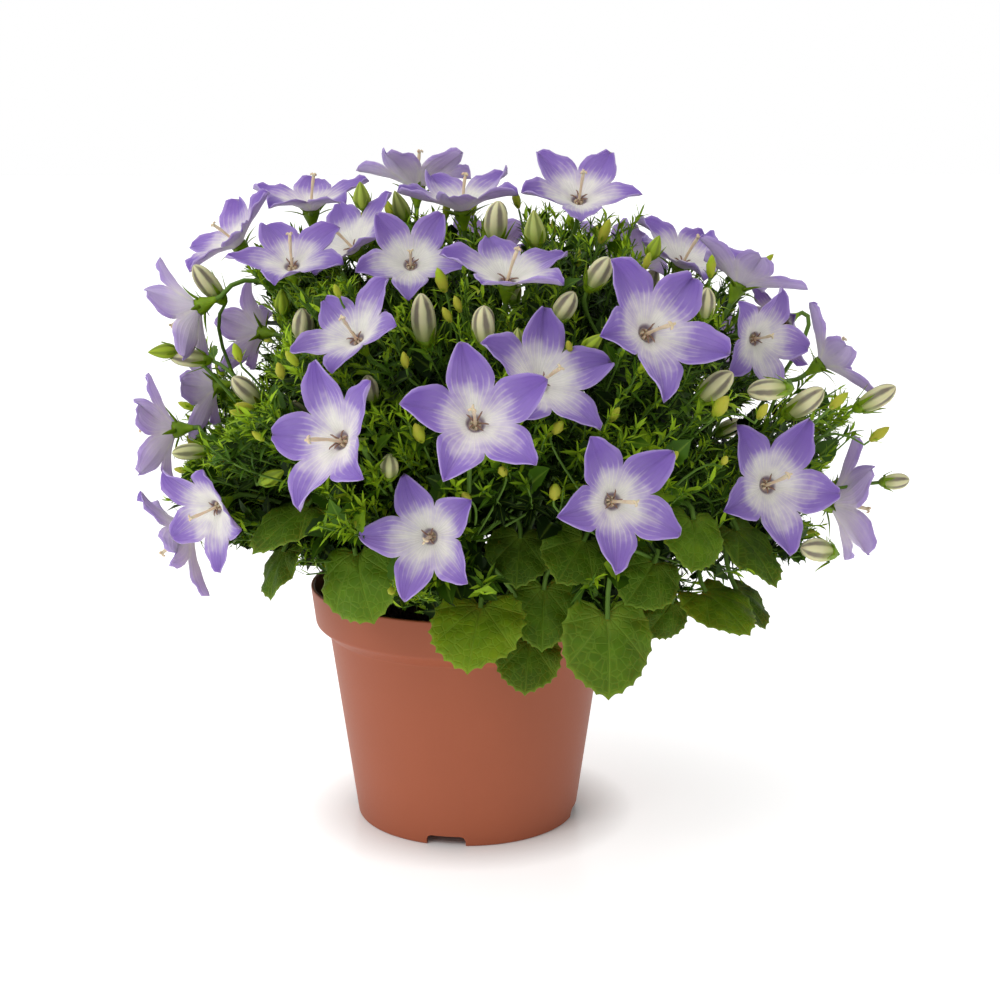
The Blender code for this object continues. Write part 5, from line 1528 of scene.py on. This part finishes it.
def leaf_frame(tangent, turn, spread, draw):
    """Direction and upper side of a leaf that leaves a stem at a turn round it."""
    across = tangent.orthogonal().normalized()
    third = tangent.cross(across)
    out = across * math.cos(turn) + third * math.sin(turn)
    aim = (tangent * math.cos(spread) + out * math.sin(spread)).normalized()
    up = (tangent * math.sin(spread) - out * math.cos(spread)).normalized()
    up = (up + Vector((0, 0, draw.uniform(0.1, 0.7)))).normalized()
    side = aim.cross(up).normalized()
    return aim, side.cross(aim).normalized()


def sprig_leaves(path, spacing, draw):
    """Place, direction, upper side, length, shade and shape of each leaf that a sprig would bear."""
    lengths = [0.0]
    for a, b in zip(path, path[1:]):
        lengths.append(lengths[-1] + (b - a).length)
    whole = lengths[-1]
    # The lower a sprig ends, the more of its leaves are broad or toothed
    low = min(1.0, max(0.0, (165 - path[-1].z / MM) / 60))
    yellow = draw.uniform(-0.10, 0.22)
    turn = draw.uniform(0, 2 * math.pi)
    at = 0.10 * whole
    leaves = []
    while at < whole:
        share = at / whole
        k = next(i for i in range(1, len(lengths)) if lengths[i] >= at)
        t = (at - lengths[k - 1]) / (lengths[k] - lengths[k - 1])
        place = path[k - 1].lerp(path[k], t)
        tangent = (path[k] - path[k - 1]).normalized()
        turn += LEAF_TURN + draw.uniform(-0.3, 0.3)
        spread = math.radians(draw.uniform(40, 80) - 25 * share)
        broad = draw.random() < 0.03 + 0.24 * low * (1 - share * 0.5)
        kinds = BROAD_SHAPES if broad else SPRIG_SHAPES if draw.random() < 0.2 + 0.6 * low else FINE_SHAPES
        length = (draw.uniform(4.5, 8.0) * (1.15 - 0.35 * share ** 3) + (5 if broad else 0)) * MM
        aim, up = leaf_frame(tangent, turn, spread, draw)
        # Painted darker towards a sprig's inner end, partly as older leaves and partly as painted shade; broad
        # leaves more so
        shade = 0.70 * share ** 2 + yellow + draw.uniform(-0.14, 0.18) - (0.25 if broad else 0.0)
        leaves.append((place, aim, up, length, shade, draw.choice(kinds)))
        at += spacing * draw.uniform(0.8, 1.2)
    # A tuft of young leaves closes the sprig, now and then with a tiny bud among them
    tangent = (path[-1] - path[-2]).normalized()
    for extra in range(4):
        aim, up = leaf_frame(tangent, turn + extra * 1.6, math.radians(draw.uniform(15, 45)), draw)
        shade = 0.62 + yellow + draw.uniform(-0.10, 0.15)
        leaves.append((path[-1], aim, up, draw.uniform(4, 6.5) * MM, shade, draw.choice(FINE_SHAPES)))
    if draw.random() < 0.10:
        aim, up = leaf_frame(tangent, turn, math.radians(draw.uniform(0, 25)), draw)
        leaves.append((path[-1], aim, up, draw.uniform(6, 9) * MM, 1.05, TINY_BUD))
    return leaves


def set_out_sprigs(groups, keepout, settings):
    """Cover the dome in sprigs and set their leaves round them."""
    draw = random.Random(settings.seed)
    directions = sphere_points(settings.sprigs)
    # The dome reaches furthest to the left, so even directions alone would leave it thin there
    directions += [direction for direction in directions if direction[0] < SPRIG_LEFT_FROM] * SPRIG_LEFT_TIMES
    for direction in directions:
        if direction[2] < SPRIG_LOWEST or draw.random() < SPRIG_RIGHT_LOSS * max(0.0, direction[0]):
            continue
        direction = direction + np.array([draw.uniform(-0.07, 0.07) for i in range(3)])
        direction /= np.linalg.norm(direction)
        path = sprig_path(direction, draw)
        flat = np.array([tuple(point) for point in path])
        clear = ~(keepout.blocked(flat) | keepout.hides(flat))
        usable = len(path)
        while usable >= SPRIG_FEWEST_POINTS and not clear[:usable].all():
            usable -= 1
        if usable < SPRIG_FEWEST_POINTS:
            continue
        path = path[:usable]
        owner = nearest_clump(path[-1])
        foliage = groups[owner]
        foliage.line([CLUMPS[owner][2].lerp(path[0], 0.6)] + path, 0.55 * MM, 0.28 * MM, 0.6)
        leaves = sprig_leaves(path, settings.spacing, draw)
        tests = []
        for place, aim, up, length, shade, shape in leaves:
            for share in LEAF_TESTS:
                tests.append(tuple(place + aim * (length * share)))
        tests = np.array(tests)
        stopped = (keepout.blocked(tests) | keepout.hides(tests)).reshape(-1, len(LEAF_TESTS)).any(axis=1)
        for (place, aim, up, length, shade, shape), is_stopped in zip(leaves, stopped):
            if not is_stopped:
                foliage.add(place, True, shape, length, shade, 0.0, aim, up)


def stem_line(root, middle):
    """Points of a main stem from its hole in the soil to the middle of its foliage."""
    top = soil_height(math.hypot(root.x, root.y))
    foot = Vector((root.x, root.y, top - 11 * MM))
    neck = Vector((root.x, root.y, top + 6 * MM))
    control = root.lerp(Vector((middle.x, middle.y, 0)), 0.25)
    control.z = top + (middle.z - top) * 0.85
    return [foot] + bend_points(neck, control, middle, 8)


def find_stalk(keepout, start, direction):
    """The leafy stem and the points of a stalk that leaves against a direction and stays clear of blooms."""
    nearest = sorted(range(len(CLUMPS)), key=lambda k: (CLUMPS[k][2] - start).length)
    kept = None
    neck = start - direction * STALK_NECK
    for owner in nearest[:STALK_OWNERS]:
        middle = CLUMPS[owner][2]
        side = direction.cross(middle - start).normalized()
        for reach in STALK_REACHES:
            for swing in STALK_SWINGS:
                control = start - direction * (reach * MM) + side * (swing * MM)
                points = [start] + bend_points(neck, control, middle, 9)
                kept = kept or (owner, points)
                tests = np.array([tuple(point) for point in points[2:]])
                if not (keepout.blocked(tests) | keepout.hides(tests)).any():
                    return owner, points
    return kept


class BELLFLOWER_OT_make_foliage(bpy.types.Operator):
    """Make the stems, the stalks and the small leaves, one piece for each leafy stem."""

    bl_idname = "bellflower.make_foliage"
    bl_label = "Make foliage"

    def execute(self, context):
        settings = context.scene.bellflower_leaf
        keepout = Keepout()
        groups = [Foliage() for place in CLUMPS]
        for foliage, (name, root, middle) in zip(groups, CLUMPS):
            foliage.line(stem_line(root, middle), 1.5 * MM, 1.2 * MM, 0.4)
        for x, y, z, bearing, rise, turn, size in BLOOMS:
            facing = facing_frame(bearing, rise, turn)[2]
            foot = Vector((x, y, z)) * MM - facing * (BLOOM_FOOT_DROP * size * MM)
            owner, points = find_stalk(keepout, foot, facing)
            groups[owner].line(points, 1.0 * MM, 0.8 * MM, 0.6)
        for row in BUDS:
            foot, direction = bud_place(row)
            owner, points = find_stalk(keepout, foot, direction)
            groups[owner].line(points, 0.75 * MM, 0.65 * MM, 0.7)
        for attach, direction, side, up, length, width, tone in large_leaf_places():
            owner = nearest_clump(attach)
            control = attach - direction * 10 * MM + Vector((0, 0, 6 * MM))
            points = bend_points(attach + direction * (0.06 * length), control, CLUMPS[owner][2], 8)
            groups[owner].line(points, 0.9 * MM, 0.9 * MM, 0.6)
        set_out_lime_buds(groups, keepout, settings)
        set_out_sprigs(groups, keepout, settings)
        shapes = leaf_shapes()
        tree = foliage_tree()
        blade = small_leaf_material(settings)
        stalk = plain_tissue("stalk_tissue", settings.stalk, settings.middle, 120.0, 0.55)
        for foliage, (name, root, middle) in zip(groups, CLUMPS):
            source = foliage.to_object("foliage_source")
            item = settle(source, tree, f"bellflower_foliage_{name[-2:]}", leaf_shapes=shapes,
                          leaf_size=settings.size, leaf_finish=blade, stem_finish=stalk, stem_sides=5)
            finish_piece(item, [name])
        for item in list(shapes.objects):
            bpy.data.objects.remove(item, do_unlink=True)
        bpy.data.collections.remove(shapes)
        return {"FINISHED"}


def soil_height(radius):
    """Height of the soil's surface at a distance from the pot's axis."""
    return POT_HEIGHT - SOIL_EDGE_DEPTH + SOIL_MOUND * (1 - radius / POT_RIM_RADIUS)


def revolved(shell, slot, profile, segments):
    """Turn a profile of radius and height, from axis to axis, round Z."""
    rings = []
    for radius, height in profile[1:-1]:
        rings.append([shell.point(bearing_point(360 * k / segments, radius, height)) for k in range(segments)])
    shell.body(slot, rings, shell.point((0, 0, profile[0][1])), shell.point((0, 0, profile[-1][1])))


def rounded(profile, radii):
    """Replace each inner corner of a profile that has a size by a small arc of that size."""
    made = [profile[0]]
    for k in range(1, len(profile) - 1):
        radius = radii[k]
        here = Vector(profile[k])
        if not radius:
            made.append(profile[k])
            continue
        before = Vector(profile[k - 1]) - here
        after = Vector(profile[k + 1]) - here
        start = here + before.normalized() * min(radius, before.length * 0.45)
        end = here + after.normalized() * min(radius, after.length * 0.45)
        for step in range(5):
            t = step / 4
            made.append(tuple(start * (1 - t) ** 2 + here * 2 * t * (1 - t) + end * t ** 2))
    made.append(profile[-1])
    return made


def cut_with(item, cutters):
    """Cut a list of objects out of an object and remove them."""
    for cutter in cutters:
        change = item.modifiers.new("cut", "BOOLEAN")
        change.operation = "DIFFERENCE"
        change.object = cutter
        change.solver = "EXACT"
    mesh = settled_mesh(item)
    item.modifiers.clear()
    item.data = mesh
    for cutter in cutters:
        bpy.data.objects.remove(cutter, do_unlink=True)


def notch_cutter(bearing):
    """A rounded slot for the foot skirt."""
    shell = Shell()
    centre = bearing_point(bearing, POT_FOOT_RADIUS - POT_SKIRT_WALL / 2)
    out = bearing_point(bearing, 1.0)
    side = Vector((-out.y, out.x, 0))
    rings = []
    for depth in (-NOTCH_REACH, NOTCH_REACH):
        ring = []
        for x, z in NOTCH_OUTLINE:
            ring.append(shell.point(centre + out * depth + side * (x * NOTCH_WIDTH) + UP * (z * NOTCH_HEIGHT)))
        rings.append(ring)
    shell.body(0, rings, shell.point(centre - out * NOTCH_REACH), shell.point(centre + out * NOTCH_REACH))
    return shell.to_object("notch_cutter")


class BELLFLOWER_OT_make_pot(bpy.types.Operator):
    """Make the nursery pot with its rim band, drain holes and notched foot skirt."""

    bl_idname = "bellflower.make_pot"
    bl_label = "Make pot"

    def execute(self, context):
        settings = context.scene.bellflower_pot
        skirt = POT_FOOT_RADIUS - POT_SKIRT_WALL
        # From the centre of the underside round the outside, over the rim and down the inside: radius, height
        # and the size of the corner's rounding in mm
        corners = [
            (0, 0, 0), (POT_CENTRE_PAD_RADIUS, 0, 0.5),
            (POT_CENTRE_PAD_RADIUS + POT_EDGE, POT_FLOOR_UNDERSIDE, 0),
            (skirt - POT_EDGE, POT_FLOOR_UNDERSIDE, 0), (skirt, 0, 0.5), (POT_FOOT_RADIUS, 0, 0.9),
            (POT_NECK_RADIUS, POT_SHOULDER_LOW, 0.7), (POT_RIM_RADIUS - POT_BAND_TAPER, POT_BAND_LOW, 0.8),
            (POT_RIM_RADIUS, POT_HEIGHT, 0.8), (POT_RIM_RADIUS - POT_WALL, POT_HEIGHT, 0.6),
            (POT_RIM_RADIUS - POT_BAND_TAPER - POT_WALL, POT_BAND_LOW + POT_EDGE, 1.0),
            (POT_NECK_RADIUS - POT_WALL, POT_SHOULDER_LOW + POT_EDGE, 1.5),
            (POT_FOOT_RADIUS - POT_WALL, POT_FLOOR_TOP, 2.0), (0, POT_FLOOR_TOP, 0),
        ]
        profile = rounded([corner[:2] for corner in corners], [corner[2] * MM for corner in corners])
        shell = Shell()
        revolved(shell, 0, profile, settings.segments)
        item = shell.to_object("bellflower_pot", [pot_material(settings)], sharp=POT_SHARP_FROM)
        cutters = [notch_cutter(NOTCH_BEARING + k * 360 / NOTCH_COUNT) for k in range(NOTCH_COUNT)]
        for k in range(DRAIN_COUNT):
            foot = bearing_point(NOTCH_BEARING + (k + 0.5) * 360 / DRAIN_COUNT, DRAIN_RING_RADIUS)
            low = foot + UP * (POT_FLOOR_UNDERSIDE - CUT_PAST)
            high = foot + UP * (POT_FLOOR_TOP + CUT_PAST)
            drain = Shell()
            add_tube(drain, 0, [low, high], [DRAIN_RADIUS] * 2, 24)
            cutters.append(drain.to_object("drain_cutter"))
        cut_with(item, cutters)
        item.data.set_sharp_from_angle(angle=math.radians(POT_SHARP_FROM))
        finish_piece(item, ["pot"])
        return {"FINISHED"}


def crumb_tree():
    """Nodes that scatter rough crumbs over a surface."""
    tree, add, given = new_tree("crumbs", [
        ("Crumbs per area", "Float"), ("Smallest", "Float"), ("Largest", "Float"), ("Seed", "Int"),
        ("Finish", "Material"),
    ])
    split = add("ShaderNodeSeparateXYZ", {0: add("GeometryNodeInputNormal")})
    upward = add("FunctionNodeCompare", {0: split.outputs["Z"], 1: 0.5}, operation="GREATER_THAN")
    spots = add("GeometryNodeDistributePointsOnFaces", {
        "Mesh": given["Geometry"], "Selection": upward, "Density": given["Crumbs per area"],
        "Seed": given["Seed"],
    })
    crumb = add("GeometryNodeMeshIcoSphere", {"Radius": 1.0, "Subdivisions": 1})
    size = add("FunctionNodeRandomValue", {
        "Min": (0.6, 0.6, 0.4), "Max": (1.4, 1.2, 0.9), "Seed": given["Seed"],
    }, data_type="FLOAT_VECTOR")
    step = add("FunctionNodeRandomValue", {
        2: given["Smallest"], 3: given["Largest"], "Seed": given["Seed"],
    }, data_type="FLOAT")
    scale = add("ShaderNodeVectorMath", {0: size, "Scale": step}, operation="SCALE")
    turn = add("FunctionNodeRandomValue", {
        "Min": (0.0, 0.0, 0.0), "Max": (6.28, 6.28, 6.28), "Seed": given["Seed"],
    }, data_type="FLOAT_VECTOR")
    placed = add("GeometryNodeInstanceOnPoints", {
        "Points": spots, "Instance": crumb, "Rotation": turn, "Scale": scale,
    })
    both = add("GeometryNodeJoinGeometry", {0: [given["Geometry"], placed]})
    real = add("GeometryNodeRealizeInstances", {"Geometry": both})
    done = add("GeometryNodeSetMaterial", {"Geometry": real, "Material": given["Finish"]})
    add("NodeGroupOutput", {0: done})
    return tree


class BELLFLOWER_OT_make_soil(bpy.types.Operator):
    """Make the soil, with a rough surface and loose crumbs."""

    bl_idname = "bellflower.make_soil"
    bl_label = "Make soil"

    def execute(self, context):
        settings = context.scene.bellflower_pot
        inset = POT_WALL + SOIL_GAP
        top_radius = POT_RIM_RADIUS - POT_BAND_TAPER - inset
        draw = random.Random(31)
        shell = Shell()
        sides = [
            (POT_FOOT_RADIUS - inset - 1 * MM, POT_FLOOR_TOP + SOIL_GAP),
            (POT_NECK_RADIUS - inset, POT_SHOULDER_LOW + 1.3 * MM), (top_radius, POT_BAND_LOW + 1.5 * MM),
            (top_radius + 0.4 * MM, soil_height(top_radius)),
        ]
        bearings = [360 * k / SOIL_SIDES for k in range(SOIL_SIDES)]
        rings = []
        for radius, height in sides:
            rings.append([shell.point(bearing_point(bearing, radius, height)) for bearing in bearings])
        for number in range(1, SOIL_RINGS):
            radius = top_radius * (1 - number / SOIL_RINGS)
            ring = []
            for bearing in bearings:
                height = soil_height(radius) + draw.uniform(*SOIL_ROUGHNESS) * MM
                ring.append(shell.point(bearing_point(bearing, radius, height)))
            rings.append(ring)
        shell.body(0, rings, shell.point(UP * (POT_FLOOR_TOP + SOIL_GAP)), shell.point(UP * soil_height(0)))
        peat = soil_material(settings)
        source = shell.to_object("soil_source", [peat])
        item = settle(source, crumb_tree(), "bellflower_soil", crumbs_per_area=140000.0, smallest=0.5 * MM,
                      largest=1.5 * MM, seed=5, finish=peat)
        finish_piece(item, ["soil"])
        return {"FINISHED"}


def aim_object(item, place, direction):
    """Stand a lamp or a camera in a place and turn it to a direction."""
    item.location = place
    item.rotation_euler = direction.to_track_quat("-Z", "Y").to_euler()


def add_floor(settings):
    """A wide floor that glows evenly, but round and under the pot's foot its glow fades out as a painted shadow.
    """
    made, add, place, shader = new_material("glowing_floor_painted_shadow")
    # The table's glow is painted down to nothing where the pot stands, a painted soft shadow round its foot
    glow = add("ShaderNodeMapRange", {
        "Value": add("ShaderNodeVectorMath", {0: place}, operation="LENGTH"),
        "From Min": SHADOW_FROM, "From Max": SHADOW_TO, "To Min": 0.0, "To Max": settings.glow,
    })
    give_inputs(shader, {
        "Base Color": tuple(settings.floor), "Roughness": 0.25, "Specular IOR Level": 0.12,
        "Emission Color": (1, 1, 1, 1), "Emission Strength": glow,
    })
    mesh = bpy.data.meshes.new("studio_floor")
    corners = [(x * FLOOR_REACH, y * FLOOR_REACH, 0) for x, y in ((-1, -1), (1, -1), (1, 1), (-1, 1))]
    mesh.from_pydata(corners, [], [(0, 1, 2, 3)])
    mesh.materials.append(made)
    link_object("studio_floor", mesh)


def add_sky(settings):
    """White light from all round, weaker from the right and from the viewer's side."""
    world = bpy.data.worlds.new("studio_sky")
    world.use_nodes = True
    add = partial(add_node, world.node_tree)
    split = add("ShaderNodeSeparateXYZ", {0: add("ShaderNodeTexCoord").outputs["Generated"]})
    fades = []
    for axis, (start, end), least in (
        ("X", SKY_RIGHT, settings.right), ("Y", SKY_FRONT, settings.front), ("Z", SKY_LOW, 0.0),
    ):
        fades.append(add("ShaderNodeMapRange", {
            "Value": split.outputs[axis], "From Min": start, "From Max": end, "To Min": 1.0, "To Max": least,
        }))
    right, front, low = fades
    strength = add(MATH, {0: right, 1: front}, operation="MULTIPLY")
    strength = add(MATH, {0: strength, 1: low}, operation="MAXIMUM")
    strength = add(MATH, {0: strength, 1: settings.sky}, operation="MULTIPLY")
    give_inputs(world.node_tree.nodes["Background"], {"Color": (1, 1, 1, 1), "Strength": strength})
    return world


class BELLFLOWER_OT_set_stage(bpy.types.Operator):
    """Set the floor, the light, the sky and the camera."""

    bl_idname = "bellflower.set_stage"
    bl_label = "Set stage"

    def execute(self, context):
        settings = context.scene.bellflower_stage
        scene = context.scene
        add_floor(settings)
        lamp = bpy.data.lights.new("key_light", "AREA")
        lamp.energy = settings.key
        lamp.shape = "SQUARE"
        lamp.size = KEY_SIZE
        aim_object(link_object("key_light", lamp), KEY_PLACE, KEY_TARGET - KEY_PLACE)
        scene.world = add_sky(settings)
        scene.view_settings.view_transform = "Standard"
        camera = bpy.data.cameras.new("camera")
        camera.lens = CAMERA_LENS
        camera.sensor_width = CAMERA_SENSOR
        camera.clip_start = 0.01
        pitch = math.radians(CAMERA_PITCH)
        yaw = math.radians(CAMERA_YAW)
        forward = Vector((math.sin(yaw) * math.cos(pitch), math.cos(yaw) * math.cos(pitch), -math.sin(pitch)))
        scene.camera = link_object("camera", camera)
        aim_object(scene.camera, CAMERA_PLACE, forward)
        return {"FINISHED"}


class BELLFLOWER_PT_panel(bpy.types.Panel):
    """Lists the steps that make the plant."""

    bl_idname = "BELLFLOWER_PT_panel"
    bl_label = "Bellflower"
    bl_space_type = "VIEW_3D"
    bl_region_type = "UI"
    bl_category = "Bellflower"

    def draw(self, context):
        for step in STEPS:
            self.layout.operator(step.bl_idname)


SETTINGS = {
    "bellflower_bloom": BloomSettings,
    "bellflower_bud": BudSettings,
    "bellflower_leaf": LeafSettings,
    "bellflower_pot": PotSettings,
    "bellflower_stage": StageSettings,
}
STEPS = [
    BELLFLOWER_OT_make_pot,
    BELLFLOWER_OT_make_soil,
    BELLFLOWER_OT_make_blooms,
    BELLFLOWER_OT_make_buds,
    BELLFLOWER_OT_make_large_leaves,
    BELLFLOWER_OT_make_foliage,
    BELLFLOWER_OT_set_stage,
]


def register():
    """Make the settings, the steps and the panel known."""
    for name, group in SETTINGS.items():
        bpy.utils.register_class(group)
        setattr(bpy.types.Scene, name, bpy.props.PointerProperty(type=group))
    for step in STEPS:
        bpy.utils.register_class(step)
    bpy.utils.register_class(BELLFLOWER_PT_panel)


def unregister():
    """Take back what register made known."""
    bpy.utils.unregister_class(BELLFLOWER_PT_panel)
    for step in reversed(STEPS):
        bpy.utils.unregister_class(step)
    for name, group in SETTINGS.items():
        delattr(bpy.types.Scene, name)
        bpy.utils.unregister_class(group)


def main():
    """Run every step."""
    register()
    bpy.ops.bellflower.make_pot()
    bpy.ops.bellflower.make_soil()
    bpy.ops.bellflower.make_blooms()
    bpy.ops.bellflower.make_buds()
    bpy.ops.bellflower.make_large_leaves()
    bpy.ops.bellflower.make_foliage()
    bpy.ops.bellflower.set_stage()
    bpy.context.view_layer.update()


if __name__ == "__main__":
    main()
